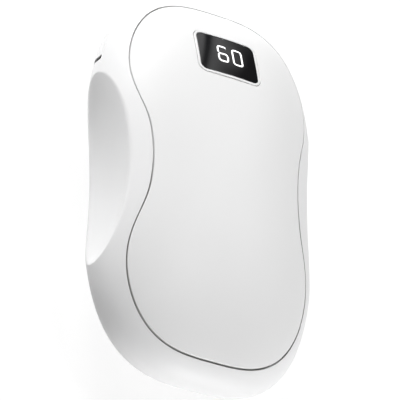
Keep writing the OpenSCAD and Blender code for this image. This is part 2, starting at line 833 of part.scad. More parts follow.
// The main board fills the display end, with corners that follow the housing's wall
board_steps_shares = [0, 0.5, 0.65, 0.8, 0.9, 1];
board_margin = 2.6;
board_half_w = boss_x + board_lip;
board_low = cradle_high + seat_gap;
board_high = half_l - wall - board_margin;
function on_board_at(shares) = [shares[0] * board_half_w, mix(board_low, board_high, shares[1])];
function board_side(share) =
    let (y = mix(board_low, board_high, share))
    [min(board_half_w, side_x(y, wall + board_edge)), y];
module main_board() {
    color("darkgreen") lifted() translate([0, 0, board_z]) difference() {
        linear_extrude(board_t) polygon(concat(
            [for (share = board_steps_shares) board_side(share)],
            [for (i = [len(board_steps_shares) - 1:-1:0])
                let (p = board_side(board_steps_shares[i])) [-p[0], p[1]]]
        ));
        at_bosses([1]) translate([0, 0, -over])
            cylinder(d = screw_d + 2 * cradle_gap, h = board_t + 2 * over, $fn = 32);
    }
}
usb_high = half_l - usb_recess;
module usb_shell() {
    color("silver") lifted() difference() {
        along_y(usb_high - usb_l, usb_high) stadium(usb_w, usb_h);
        along_y(usb_high - usb_l + usb_skin, usb_high + over)
            stadium(usb_w - 2 * usb_skin, usb_h - 2 * usb_skin);
    }
}
tongue_w = 6.7;
tongue_h = 0.7;
tongue_recess = 2;
module usb_tongue() {
    low = usb_high - usb_l + usb_skin + layer_gap;
    color("black") lifted()
        block(0, (low + usb_high - tongue_recess) / 2, tongue_w, usb_high - tongue_recess - low,
            usb_z - tongue_h / 2, tongue_h);
}

// Parts on the board: places as shares of it, and sizes as [width, length, height]
board_top = board_z + board_t + layer_gap;
charge_chip_shares = [0.21, 0.6];
charge_chip_size = [4, 4, 0.9];
control_chip_shares = [-0.17, 0.6];
control_chip_size = [6, 4.5, 1.2];
inductor_shares = [0.57, 0.24];
inductor_size = [6, 6, 2.8];
coil_share = 0.8;
inductor_foot_share = 0.25;
capacitor_shares = [[-0.4, 0.24], [-0.4, 0.44]];
capacitor_size = [3.2, 1.6, 1.6];
front_plug_shares = [-0.71, 0.26];
rear_plug_shares = [-0.38, 0.17];
plug_size = [5, 3.6, 2.8];
module placed(at, size, foot) {
    block(at[0], at[1], size[0], size[1], foot, size[2]);
}
module charge_chip() {
    color("black") lifted() placed(on_board_at(charge_chip_shares), charge_chip_size, board_top);
}
module control_chip() {
    color("black") lifted() placed(on_board_at(control_chip_shares), control_chip_size, board_top);
}
module power_inductor() {
    at = on_board_at(inductor_shares);
    foot = inductor_size[2] * inductor_foot_share;
    flange = [inductor_size[0], inductor_size[1], foot];
    color("darkslategray") lifted() {
        placed(at, flange, board_top);
        translate([at[0], at[1], board_top])
            cylinder(d = inductor_size[0] * coil_share, h = inductor_size[2] - foot, $fn = 32);
        placed(at, flange, board_top + inductor_size[2] - foot);
    }
}
module board_capacitors() {
    color("tan") lifted() for (shares = capacitor_shares)
        placed(on_board_at(shares), capacitor_size, board_top);
}
module front_heater_plug() {
    color("ivory") lifted() placed(on_board_at(front_plug_shares), plug_size, board_top);
}
rear_plug_foot = board_z - layer_gap - plug_size[2];
module rear_heater_plug() {
    color("ivory") lifted() placed(on_board_at(rear_plug_shares), plug_size, rear_plug_foot);
}

// Height of the crown, and of a film's underside, over any place
function crown_at(x, y) = dome_z(atan2(y, x), norm([x, y]));
function film_under(at) = crown_at(at[0], at[1]) - film_drop - film_t;
// Place on a film, in the direction t, as a share of the way to the film's edge
function on_film_at(t, share) = (panel_r(t) - plate_inset) * share * [cos(t), sin(t)];
// Leads end this far from what they are soldered to
lead_gap = 0.1;
front_lead_angle = 118;
front_lead_share = 0.82;
front_bend_y = 3.7;
front_bend_share = 0.8;
module front_heater_lead() {
    film = on_film_at(front_lead_angle, front_lead_share);
    plug = on_board_at(front_plug_shares);
    end_z = board_top + plug_size[2] + lead_gap + wire_d / 2;
    start_z = film_under(film) - wire_d;
    color("red") lifted() wire([
        [film[0], film[1], start_z],
        [plug[0], plug[1] - front_bend_y, mix(end_z, start_z, front_bend_share)],
        [plug[0], plug[1], end_z]
    ]);
}
rear_lead_angle = 102;
rear_lead_share = 0.88;
rear_bend_y = 0.6;
rear_bend_share = 0.5;
module rear_heater_lead() {
    film = on_film_at(rear_lead_angle, rear_lead_share);
    plug = on_board_at(rear_plug_shares);
    end_z = rear_plug_foot - lead_gap;
    start_z = wire_d - film_under(film);
    color("red") lifted() wire([
        [film[0], film[1], start_z],
        [plug[0], plug[1] + rear_bend_y, mix(end_z, start_z, rear_bend_share)],
        [plug[0], plug[1], end_z]
    ]);
}
plus_pad_shares = [0.105, 0.085];
minus_pad_shares = [-0.105, 0.085];
module battery_plus_lead() {
    y = link_top_y + link_t / 2 + lead_gap + wire_d / 2;
    pad_at = on_board_at(plus_pad_shares);
    color("red") lifted() wire([
        [top_tab_x, y, tab_top - wire_d],
        [pad_at[0], pad_at[1], tab_top - wire_d],
        [pad_at[0], pad_at[1], board_top + lead_gap]
    ]);
}
// The minus lead lies along the groove between the cells
groove_points = 9;
module battery_minus_lead() {
    pad_at = on_board_at(minus_pad_shares);
    low = link_bottom_y + tab_w;
    high = link_top_y - tab_w;
    color("black") lifted() wire(concat(
        [[0, link_bottom_y, groove_z + lead_gap]],
        [for (i = [0:groove_points]) [0, mix(low, high, i / groove_points), groove_z]],
        [[pad_at[0], pad_at[1], tab_top - wire_d], [pad_at[0], pad_at[1], board_top + lead_gap]]
    ));
}

bead_d = 1.8;
bead_angle = 60;
bead_share = 0.71;
bead_pad_shares = [0.8, 0.16];
bead_bend_y = 2.5;
bead_bend_share = 0.6;
module thermistor() {
    bead = on_film_at(bead_angle, bead_share);
    pad_at = on_board_at(bead_pad_shares);
    z = film_under(bead) - bead_d / 2 - 2 * lead_gap;
    color("black") lifted() {
        translate([bead[0], bead[1], z]) sphere(d = bead_d, $fn = 24);
        wire([
            [bead[0], bead[1], z],
            [pad_at[0], pad_at[1] - bead_bend_y, mix(board_top, z, bead_bend_share)],
            [pad_at[0], pad_at[1], board_top + wire_d / 2 + lead_gap]
        ]);
    }
}
// The fuse lies in the groove between the cells, towards the back
fuse_d = 2;
fuse_l = 8;
fuse_gap = 0.3;
fuse_z = sqrt(pow((cell_d + fuse_d) / 2 + fuse_gap, 2) - pow(cell_x, 2));
module thermal_fuse() {
    color("white") lifted() translate([0, -fuse_l / 2, -fuse_z]) rotate([-90, 0, 0])
        cylinder(d = fuse_d, h = fuse_l, $fn = 32);
}

module power_button() {
    inner = -wall - button_seat;
    color("white") lifted() at_button() {
        intersection() {
            side_bar(button_l, button_h, inner - button_flange_t, button_rise + over);
            translate([-button_crown, 0, 0]) rotate([90, 0, 0]) cylinder(
                r = button_crown + button_rise, h = 2 * button_l, center = true, $fn = 96);
        }
        translate([inner - button_flange_t, -button_l / 2 - button_tab, -button_h / 4])
            cube([button_flange_t, button_l + 2 * button_tab, button_h / 2]);
        translate([inner - button_flange_t - stem_l, 0, 0]) rotate([0, 90, 0])
            cylinder(d = stem_d, h = stem_l + button_flange_t / 2, $fn = 32);
    }
}
// The switch stands behind the button, soldered under the board
plunger_gap = 0.1;
plunger_r = 1;
plunger_out = 0.9;
plunger_l = 1.8;
plunger_clear = 0.06;
switch_w = 4;
switch_l = 2.8;
switch_h = 3;
switch_front = -wall - button_seat - button_flange_t - stem_l - plunger_gap - plunger_out;
module switch_body() {
    color("dimgray") lifted() at_button() difference() {
        translate([switch_front - switch_l, -switch_w / 2, board_z - layer_gap - switch_h])
            cube([switch_l, switch_w, switch_h]);
        translate([switch_front + plunger_out - plunger_l - button_travel - plunger_clear, 0, 0])
            rotate([0, 90, 0]) cylinder(r = plunger_r + plunger_clear, h = plunger_l + over, $fn = 32);
    }
}
module switch_plunger() {
    color("black") lifted() at_button()
        translate([switch_front + plunger_out - plunger_l, 0, 0]) rotate([0, 90, 0])
            cylinder(r = plunger_r, h = plunger_l, $fn = 32);
}

housing();
front_panel();
rear_panel();
front_heat_plate();
rear_heat_plate();
front_heating_film();
rear_heating_film();
front_pad();
rear_pad();
battery_cell_left();
battery_cell_right();
cell_washers();
cell_link_top();
cell_link_bottom();
battery_cradle();
case_screws();
main_board();
usb_shell();
usb_tongue();
charge_chip();
control_chip();
power_inductor();
board_capacitors();
front_heater_plug();
rear_heater_plug();
front_heater_lead();
rear_heater_lead();
battery_plus_lead();
battery_minus_lead();
thermistor();
thermal_fuse();
display_bezel();
display_lens();
display_digits();
display_block();
display_board();
display_header();
power_button();
switch_body();
switch_plunger();
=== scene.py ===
# Rechargeable hand warmer, dressed for its photograph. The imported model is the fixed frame.
import math

import bpy
import numpy as np
from mathutils import Matrix, Vector


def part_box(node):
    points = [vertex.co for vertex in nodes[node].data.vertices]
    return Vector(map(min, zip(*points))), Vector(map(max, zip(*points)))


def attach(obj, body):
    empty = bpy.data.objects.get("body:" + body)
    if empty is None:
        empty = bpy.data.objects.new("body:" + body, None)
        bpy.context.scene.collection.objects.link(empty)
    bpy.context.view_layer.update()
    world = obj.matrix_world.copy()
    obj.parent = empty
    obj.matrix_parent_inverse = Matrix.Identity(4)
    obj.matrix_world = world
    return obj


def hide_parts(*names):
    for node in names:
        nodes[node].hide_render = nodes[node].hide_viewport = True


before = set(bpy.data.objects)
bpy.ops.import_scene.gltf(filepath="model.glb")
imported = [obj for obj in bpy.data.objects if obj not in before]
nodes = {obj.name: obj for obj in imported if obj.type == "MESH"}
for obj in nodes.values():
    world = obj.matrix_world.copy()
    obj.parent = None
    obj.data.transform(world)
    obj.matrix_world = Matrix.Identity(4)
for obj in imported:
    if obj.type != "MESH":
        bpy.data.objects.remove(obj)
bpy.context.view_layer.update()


# ---- Camera -------------------------------------------------------------------------------
# A long lens looks down on the warmer from its lower left, about a metre away.
camera_data = bpy.data.cameras.new("camera")
camera_data.sensor_width = 36
camera_data.lens = 364.3
camera_data.clip_start = 0.05
camera_data.clip_end = 20
camera = bpy.data.objects.new("camera", camera_data)
right = Vector((0.8475, 0.0034, 0.5308)).normalized()
back = Vector((-0.4696, -0.4613, 0.7528)).normalized()
up = back.cross(right).normalized()
right = up.cross(back)
camera.matrix_world = Matrix.Translation((-0.4621, -0.4553, 0.7580)) @ Matrix(
    (right, up, back)
).transposed().to_4x4()
bpy.context.scene.collection.objects.link(camera)
bpy.context.scene.camera = camera
bpy.context.scene.view_settings.view_transform = "Standard"


# ---- Housing ------------------------------------------------------------------------------
# One injection-moulded ring of white ABS that holds both heating panels. Each side has a bowl
# for the fingers, and the ring is cored for the socket, the power button and the lanyard.
mm = 0.001
half_w, half_l, half_t = 31.0, 52.0, 17.0
mid_height = 16.6
lift = np.array([0, 0, mid_height])
wall = 1.8
scoop_l, scoop_h, scoop_depth, scoop_bowl, scoop_y = 51.0, 19.0, 8.0, 12.0, -0.6
rim_soft, least_rim = 1.8, 0.15 * half_t
panel_inset, waist_draw, waist_half, waist_power = 4.6, 6.0, 23.0, 6
panel_gap, panel_t, seat_drop = 0.25, 1.6, 1.7
ledge_w, ledge_t = 2.0, 1.5
lip, seam_ease, seam_spare = 0.08, 0.08, 0.1


def outline_at(t, w, l):
    return ((np.abs(np.cos(t)) / w) ** 3 + (np.abs(np.sin(t)) / l) ** 3) ** (-1 / 3)


def outline(t):
    return outline_at(t, half_w, half_l)


def dome(t, r):
    return half_t * np.sqrt(np.maximum(0, 1 - (r / outline(t)) ** 2))


def soft_min(p, q, k):
    h = np.maximum(k - np.abs(p - q), 0) / k
    return np.minimum(p, q) - h * h * k / 4


def side_x(y):
    return half_w * (1 - (y / half_l) ** 3) ** (1 / 3)


bowl_x = half_w - scoop_depth + scoop_bowl
bowl_h = scoop_h / 2 / math.sqrt(
    1 - ((bowl_x - half_w * math.sqrt(1 - (scoop_h / 2 / half_t) ** 2)) / scoop_bowl) ** 2
)
bowl_l = scoop_l / 2 / math.sqrt(1 - ((bowl_x - side_x(scoop_l / 2)) / scoop_bowl) ** 2)


def bowl_r(t, z, grow):
    """Distance from the middle to a bowl's near wall, or far outside where a ray misses it."""
    w, l, h = scoop_bowl + grow, bowl_l + grow, bowl_h + grow
    dx, dy = np.abs(np.cos(t)) / w, np.sin(t) / l
    ox, oy, oz = bowl_x / w, scoop_y / l, z / h
    qa = dx * dx + dy * dy
    qb = dx * ox + dy * oy
    disc = qb * qb - qa * (ox * ox + oy * oy + oz * oz - 1)
    root = (qb - np.sqrt(np.maximum(disc, 0))) / qa
    return np.where((disc > 0) & (qb > 0), root, 4 * half_l)


def outer_r(t, z):
    return soft_min(outline(t) * np.sqrt(1 - (z / half_t) ** 2), bowl_r(t, z, 0), rim_soft)


def inner_r(t, z):
    body = outline_at(t, half_w - wall, half_l - wall)
    return soft_min(
        body * np.sqrt(1 - (z / (half_t - wall)) ** 2), bowl_r(t, z, wall), rim_soft
    )


def panel_r(t):
    r = outline(t)
    return r - panel_inset - waist_draw / (1 + np.abs(r * np.sin(t) / waist_half) ** waist_power)


def rim_z(t):
    """Height of a bowl's rim above the middle plane, which never falls to nothing."""
    def share(y):
        return np.sqrt(np.maximum(0, 1 - ((y - scoop_y) * 2 / scoop_l) ** 2))

    first = share(outline(t) * np.sin(t)) * scoop_h / 2
    r = outline(t) * np.sqrt(1 - (first / half_t) ** 2)
    return np.maximum(share(r * np.sin(t)) * scoop_h / 2, least_rim)


def select_only(piece):
    bpy.ops.object.select_all(action="DESELECT")
    piece.select_set(True)
    bpy.context.view_layer.objects.active = piece


def edit_all(piece):
    """Edit mode with the whole of a piece selected."""
    select_only(piece)
    bpy.ops.object.mode_set(mode="EDIT")
    bpy.ops.mesh.select_all(action="SELECT")


def turn_outwards(piece):
    edit_all(piece)
    bpy.ops.mesh.normals_make_consistent(inside=False)
    bpy.ops.object.mode_set(mode="OBJECT")


def bevel_all(piece, width, segments):
    edit_all(piece)
    bpy.ops.mesh.bevel(offset=width * mm, segments=segments)
    bpy.ops.object.mode_set(mode="OBJECT")


def put_vertices(piece, points):
    piece.data.vertices.foreach_set("co", np.ascontiguousarray(points, np.float32).ravel() * mm)
    piece.data.update()


def read_vertices(piece):
    points = np.empty(len(piece.data.vertices) * 3, np.float32)
    piece.data.vertices.foreach_get("co", points)
    return points.reshape(-1, 3).astype(float)


def shaped_ring(name, columns, rows, place):
    """Grid rolled up both ways into a ring, its vertices moved to place(column, row), in mm."""
    bpy.ops.object.select_all(action="DESELECT")
    bpy.ops.mesh.primitive_grid_add(x_subdivisions=columns, y_subdivisions=rows, size=2)
    piece = bpy.context.object
    piece.name = name
    x, y, _ = read_vertices(piece).T
    column = np.rint((x + 1) / 2 * columns).astype(int) % columns
    row = np.rint((y + 1) / 2 * rows).astype(int) % rows
    put_vertices(piece, place(column, row))
    edit_all(piece)
    bpy.ops.mesh.remove_doubles(threshold=mm / 1000)
    bpy.ops.mesh.normals_make_consistent(inside=False)
    bpy.ops.object.mode_set(mode="OBJECT")
    return piece


def shaped_ball(name, columns, rings, place):
    """Ball whose rings, counted from the upper pole, are moved to place(column, ring), in mm."""
    bpy.ops.object.select_all(action="DESELECT")
    bpy.ops.mesh.primitive_uv_sphere_add(segments=columns, ring_count=rings, radius=1)
    piece = bpy.context.object
    piece.name = name
    x, y, z = read_vertices(piece).T
    ring = np.rint(np.arccos(np.clip(z, -1, 1)) / math.pi * rings).astype(int)
    column = np.rint(np.arctan2(y, x) / (2 * math.pi) * columns).astype(int) % columns
    put_vertices(piece, place(column, ring))
    turn_outwards(piece)
    return piece


def eased(a, corner, b, steps):
    """Points of a small fillet from a to b round a corner, without the first of them."""
    shares = [(k + 1) / steps for k in range(steps)]
    return [
        tuple((1 - s) ** 2 * p + 2 * s * (1 - s) * q + s * s * o for p, q, o in zip(a, corner, b))
        for s in shares
    ]


def combine(piece, other, operation):
    modifier = piece.modifiers.new(operation.lower(), "BOOLEAN")
    modifier.operation = operation
    modifier.solver = "EXACT"
    modifier.object = other
    select_only(piece)
    bpy.ops.object.modifier_apply(modifier=modifier.name)
    bpy.data.objects.remove(other)


def joined(name, pieces):
    bpy.ops.object.select_all(action="DESELECT")
    for piece in pieces:
        piece.select_set(True)
    bpy.context.view_layer.objects.active = pieces[0]
    bpy.ops.object.join()
    pieces[0].name = name
    return pieces[0]


def smooth(piece, degrees=35):
    select_only(piece)
    bpy.ops.object.shade_smooth_by_angle(angle=math.radians(degrees))


def settle(piece):
    """Bakes a piece's place into its mesh, so its origin is the world's."""
    select_only(piece)
    bpy.ops.object.transform_apply(location=True, rotation=True, scale=True)


def add_block(size, at, turn=0.0):
    """Block of a size, turned about the vertical, with its middle at a place, all in mm."""
    bpy.ops.mesh.primitive_cube_add(size=1)
    piece = bpy.context.object
    piece.scale = [length * mm for length in size]
    piece.rotation_euler.z = turn
    piece.location = [length * mm for length in at]
    settle(piece)
    return piece


def empty_tree(owner, kind):
    """Node tree of a material or world, cleared, and the socket of its output."""
    owner.use_nodes = True
    tree = owner.node_tree
    tree.nodes.clear()
    return tree, tree.nodes.new("ShaderNodeOutput" + kind).inputs["Surface"]


def set_socket(socket, value):
    socket.default_value = (*value, 1) if isinstance(value, tuple) else value


def feed(tree, socket, value):
    """Gives an input another socket, a colour or a plain number."""
    if isinstance(value, (int, float, tuple)):
        set_socket(socket, value)
    else:
        tree.links.new(value, socket)


def new_group(name, inputs, outputs=("Colour", "Roughness", "Height")):
    """Shader node group with named value (float) and colour (3-tuple) inputs and outputs."""
    group = bpy.data.node_groups.new(name, "ShaderNodeTree")
    for label, value in inputs.items():
        kind = "NodeSocketColor" if isinstance(value, tuple) else "NodeSocketFloat"
        set_socket(group.interface.new_socket(label, in_out="INPUT", socket_type=kind), value)
    for label in outputs:
        kind = "NodeSocketColor" if label == "Colour" else "NodeSocketFloat"
        group.interface.new_socket(label, in_out="OUTPUT", socket_type=kind)
    start = group.nodes.new("NodeGroupInput").outputs
    end = group.nodes.new("NodeGroupOutput").inputs
    return group, start, end


def object_point(tree):
    return tree.nodes.new("ShaderNodeTexCoord").outputs["Object"]


def axis_of(tree, point, axis):
    split = tree.nodes.new("ShaderNodeSeparateXYZ")
    tree.links.new(point, split.inputs[0])
    return split.outputs[axis]


def distance_from(tree, place):
    """Distance of the shaded point from a place."""
    node = tree.nodes.new("ShaderNodeVectorMath")
    node.operation = "DISTANCE"
    node.inputs[1].default_value = place
    tree.links.new(object_point(tree), node.inputs[0])
    return node.outputs["Value"]


def fade_of(tree, value, nought, full, kind="SMOOTHSTEP"):
    """Share that runs from 0 at one value to 1 at another."""
    node = tree.nodes.new("ShaderNodeMapRange")
    node.interpolation_type = kind
    tree.links.new(value, node.inputs["Value"])
    feed(tree, node.inputs["From Min"], nought)
    feed(tree, node.inputs["From Max"], full)
    return node.outputs[0]


def sum_of(tree, kind, *values):
    """Math node of a kind, fed by sockets or plain numbers."""
    node = tree.nodes.new("ShaderNodeMath")
    node.operation = kind
    for k, value in enumerate(values):
        feed(tree, node.inputs[k], value)
    return node.outputs[0]


def blend_of(tree, share, one, two):
    """Colour mixed from one to two by a share."""
    node = tree.nodes.new("ShaderNodeMix")
    node.data_type = "RGBA"
    for k, value in ((0, share), (6, one), (7, two)):
        feed(tree, node.inputs[k], value)
    return node.outputs[2]


def noise_of(tree, point, scale, detail=3.0):
    node = tree.nodes.new("ShaderNodeTexNoise")
    node.inputs["Detail"].default_value = detail
    tree.links.new(point, node.inputs["Vector"])
    feed(tree, node.inputs["Scale"], scale)
    return node.outputs["Fac"]


def end_finish(group, start, end, share, height):
    """Ends a finish whose tint drifts and whose sheen swings with a share."""
    group.links.new(blend_of(group, share, start["Colour"], start["Drift"]), end["Colour"])
    swing = sum_of(group, "MULTIPLY", sum_of(group, "SUBTRACT", share, 0.5), start["Swing"])
    group.links.new(sum_of(group, "ADD", start["Roughness"], swing), end["Roughness"])
    group.links.new(height, end["Height"])


# Skin of a moulding: a fine spark-eroded grain, a slow drift of tint and an uneven sheen
moulded_skin, start, end = new_group("moulded_skin", {
    "Colour": (0.8, 0.8, 0.8), "Drift": (0.76, 0.76, 0.76), "Grain": 2600.0, "Patch": 90.0,
    "Roughness": 0.45, "Swing": 0.1,
})
point = object_point(moulded_skin)
end_finish(moulded_skin, start, end, noise_of(moulded_skin, point, start["Patch"]),
           noise_of(moulded_skin, point, start["Grain"], 2.0))


def new_material(name, group, relief, values, **sockets):
    """Principled material that wears a finish's group, with a relief in mm, and has other
    uniform values on the shader's own sockets."""
    material = bpy.data.materials.new(name)
    tree, surface = empty_tree(material, "Material")
    shader = tree.nodes.new("ShaderNodeBsdfPrincipled")
    tree.links.new(shader.outputs[0], surface)
    for socket, value in sockets.items():
        shader.inputs[socket.replace("_", " ")].default_value = value
    node = tree.nodes.new("ShaderNodeGroup")
    node.node_tree = group
    for label, value in values.items():
        set_socket(node.inputs[label], value)
    tree.links.new(node.outputs["Colour"], shader.inputs["Base Color"])
    tree.links.new(node.outputs["Roughness"], shader.inputs["Roughness"])
    bump = tree.nodes.new("ShaderNodeBump")
    bump.inputs["Strength"].default_value = 1
    bump.inputs["Distance"].default_value = relief * mm
    tree.links.new(node.outputs["Height"], bump.inputs["Height"])
    tree.links.new(bump.outputs["Normal"], shader.inputs["Normal"])
    return material


def moulded(name, colour, drift, rough, grain=2600.0, patch=90.0, swing=0.1, relief=0.004, **more):
    return new_material(name, moulded_skin, relief, {
        "Colour": colour, "Drift": drift, "Grain": grain, "Patch": patch,
        "Roughness": rough, "Swing": swing,
    }, **more)


def parts_of(material):
    """Node tree of a material, its shader's inputs, and the socket that its colour comes from."""
    tree = material.node_tree
    inputs = tree.nodes["Principled BSDF"].inputs
    return tree, inputs, inputs["Base Color"].links[0].from_socket


def stain(material, share, colour, bare_metal=False):
    """Turns a material another colour by a share, and into metal too where it lies bare."""
    tree, inputs, plain = parts_of(material)
    tree.links.new(blend_of(tree, share, plain, colour), inputs["Base Color"])
    if bare_metal:
        tree.links.new(share, inputs["Metallic"])


def finish(piece, material):
    piece.data.materials.clear()
    piece.data.materials.append(material)


def dress(material, *names):
    """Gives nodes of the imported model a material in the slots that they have."""
    for name in names:
        for slot in nodes[name].material_slots:
            slot.material = material


# Heights of the skin's rows as shares of the rim's: up the bowl and close together over its rim
rim_shares = (0, 0.14, 0.28, 0.42, 0.54, 0.64, 0.72, 0.79, 0.85, 0.9,
              0.945, 0.97, 0.99, 1.01, 1.03, 1.055, 1.09, 1.135)
brow_rows, inside_shares = 12, (1, 0.8, 0.6, 0.4, 0.2, 0)


def housing_rows(t):
    """Radii and heights of the rows: up the skin, over the lip, down inside and back below."""
    edge = panel_r(t) + panel_gap + seam_ease
    out = edge + lip
    top, corner = dome(t, out), dome(t, edge)
    heights = [rim_z(t) * share for share in rim_shares]
    brow = heights[-1]
    heights += [brow + (top - brow) * (k + 1) / brow_rows for k in range(brow_rows)]
    rows = [(outer_r(t, z), z) for z in heights]
    rows += eased((out, top), (edge, corner), (edge, corner - lip), 4)
    ledge = panel_r(t) - ledge_w
    seat = dome(t, ledge) - seat_drop
    rows += [(edge, corner - seat_drop), (ledge, seat), (ledge, seat - ledge_t)]
    low = corner - seat_drop - ledge_t
    rows += [(inner_r(t, low * share), low * share) for share in inside_shares]
    rows += [(r, -z) for r, z in rows[-2:0:-1]]
    return np.array([r for r, z in rows]), np.array([z for r, z in rows])


# The columns crowd towards the ends of the bowls
housing_columns, crowding = 720, 0.15
housing_turn = 2 * math.pi * np.arange(housing_columns) / housing_columns
housing_turn = housing_turn + crowding * np.sin(4 * housing_turn)
housing_r, housing_z = housing_rows(housing_turn)


def place_housing(column, row):
    r, t = housing_r[row, column], housing_turn[column]
    return np.stack([r * np.cos(t), r * np.sin(t), housing_z[row, column] + mid_height], 1)


housing = shaped_ring("housing_shell", housing_columns, len(housing_r), place_housing)


def round_box(w, h, r, corner=9, side=7):
    """Points and outward normals round a rectangle with round corners, anticlockwise."""
    points, normals = [], []
    for q, (sx, sy) in enumerate([(1, 1), (-1, 1), (-1, -1), (1, -1)]):
        centre = np.array([sx * (w / 2 - r), sy * (h / 2 - r)])
        for k in range(corner + 1):
            a = math.radians(90 * (q + k / corner))
            normal = np.array([math.cos(a), math.sin(a)])
            points.append(centre + r * normal)
            normals.append(normal)
        sx, sy = [(-1, 1), (-1, -1), (1, -1), (1, 1)][q]
        first, last = points[-1], np.array([sx * (w / 2 - r), sy * (h / 2 - r)]) + r * normal
        for k in range(1, side):
            points.append(first + (last - first) * k / side)
            normals.append(normal)
    return np.array(points), np.array(normals)


def over_crown(points):
    """How far outside the uncut body points are, as a share, negative inside."""
    x, y, z = points[..., 0], points[..., 1], points[..., 2]
    t = np.arctan2(y, x)
    return (np.hypot(x, y) / outline(t)) ** 2 + (z / half_t) ** 2 - 1


furthest, halvings = 8.0, 40


def reach_out(begin, along):
    """Distance from each point to the body's skin along a direction, by halving."""
    low, high = np.full(begin.shape[:-1], -furthest), np.full(begin.shape[:-1], furthest)
    for _ in range(halvings):
        middle = (low + high) / 2
        outside = over_crown(begin + middle[..., None] * along) > 0
        high, low = np.where(outside, middle, high), np.where(outside, low, middle)
    return (low + high) / 2


# How far a cutter stands outside what it cuts
proud = 1.0


def mouth(name, axes, box, deep, flare):
    """Cutter for a hole with an eased edge that follows the body's skin. Its axes are its middle,
    seen from the body's, and the ways across, up and out."""
    origin, across, upward, outward = axes
    points, normals = round_box(*box)

    def spread(offset):
        flat = points + normals * offset
        return origin + np.outer(flat[:, 0], across) + np.outer(flat[:, 1], upward)

    layers = [(flare, -proud)] + [
        (flare * (1 - math.cos(a)), flare * (1 - math.sin(a)))
        for a in map(math.radians, (90, 72, 54, 36, 18, 0))
    ]
    grid = [spread(offset) + (reach_out(spread(offset), outward) - depth)[:, None] * outward
            for offset, depth in layers]
    grid = np.array(grid + [spread(0) - deep * outward]) + lift
    top, foot = grid[0].mean(0) + proud * outward, grid[-1].mean(0)
    rings = len(grid) + 1

    def place(column, ring):
        inner = grid[np.clip(ring - 1, 0, len(grid) - 1), column]
        return np.where((ring == 0)[:, None], top, np.where((ring == rings)[:, None], foot, inner))

    return shaped_ball(name, len(points), rings, place)


# Screw bosses and the block that the lanyard's tunnel runs through, inside the shell
boss_x, boss_y, boss_r, boss_l, boss_sink = 17.687, 40.65, 2.3, 5.22, 0.05
pilot_r, pilot_l = 1.03, 4.62


def add_pegs(radius, length, top):
    """Upright pegs at the four case screws, with their top ends at a height."""
    pegs = []
    for sx in (-1, 1):
        for sy in (-1, 1):
            bpy.ops.mesh.primitive_cylinder_add(
                vertices=32, radius=radius * mm, depth=length * mm,
                location=(sx * boss_x * mm, sy * boss_y * mm, (top - length / 2) * mm),
            )
            pegs.append(bpy.context.object)
    return pegs


def left_out(y):
    """Place on the left side's outline, and the level direction straight out of it."""
    x = float(side_x(y))
    out = np.array([-(x**2) / half_w**3, y**2 / half_l**3, 0])
    return np.array([-x, y, 0]), out / np.linalg.norm(out)


slot_y, slot_drop = 33.5, np.array([0, 0, -1.0])
slot_at, slot_out = left_out(slot_y)
slot_at = slot_at + slot_drop
slot_along = np.array([-slot_out[1], slot_out[0], 0])
slot_turn = math.atan2(slot_out[1], slot_out[0])
slot_bend, slot_h, slot_w, bar_t = 4.2, 1.2, 4.6, 1.7
block_from, block_to, block_l, block_spare = 1.62, 4.2, 12.1, 3
additions = add_pegs(boss_r, boss_l, mid_height - boss_sink)
additions.append(add_block(
    (block_to - block_from, block_l, slot_w + block_spare),
    slot_at + lift - slot_out * (block_from + block_to) / 2, slot_turn,
))
combine(housing, joined("additions", additions), "UNION")

tunnel_r, tunnel_columns = 0.35, 96
tunnel_points, _ = round_box(slot_h, slot_w, tunnel_r, corner=5, side=4)


def place_tunnel(column, row):
    """Bent bar of the lanyard's tunnel: a ring whose section is a thin rounded box."""
    a = 2 * math.pi * column / tunnel_columns
    across, upward = tunnel_points[row].T
    r = slot_bend + slot_h / 2 + across
    centre = slot_at + lift + slot_out * (slot_bend - bar_t)
    return (
        centre + np.outer(r * np.cos(a), slot_out) + np.outer(r * np.sin(a), slot_along)
        + np.outer(upward, (0, 0, 1))
    )


tunnel = shaped_ring("tunnel", tunnel_columns, len(tunnel_points), place_tunnel)

# A fine groove marks the bar's front edge, and a ramp falls to the tunnel's far mouth
groove_l, groove_w, groove_deep = 6.6, 0.2, 0.2
ramp_l, ramp_deep, ramp_run, ramp_from = 7.0, 0.45, 5.2, 3.9
groove_at = slot_at + slot_out * (proud - groove_deep) + np.array([0, 0, slot_w / 2])
ramp_at, ramp_out = left_out(slot_y + ramp_from)
ramp_turn = math.atan2(ramp_out[1], ramp_out[0]) + math.atan2(ramp_deep, ramp_run)
facing = np.array([math.cos(ramp_turn), math.sin(ramp_turn), 0])
running = np.array([facing[1], -facing[0], 0])
ramp_at = ramp_at + slot_drop + facing * (proud - ramp_deep) + running * ramp_l / 2
carvings = [
    add_block((2 * proud, groove_l, groove_w), groove_at + lift, slot_turn),
    add_block((2 * proud, ramp_l, slot_w), ramp_at + lift, ramp_turn),
]
combine(housing, joined("carvings", carvings), "DIFFERENCE")

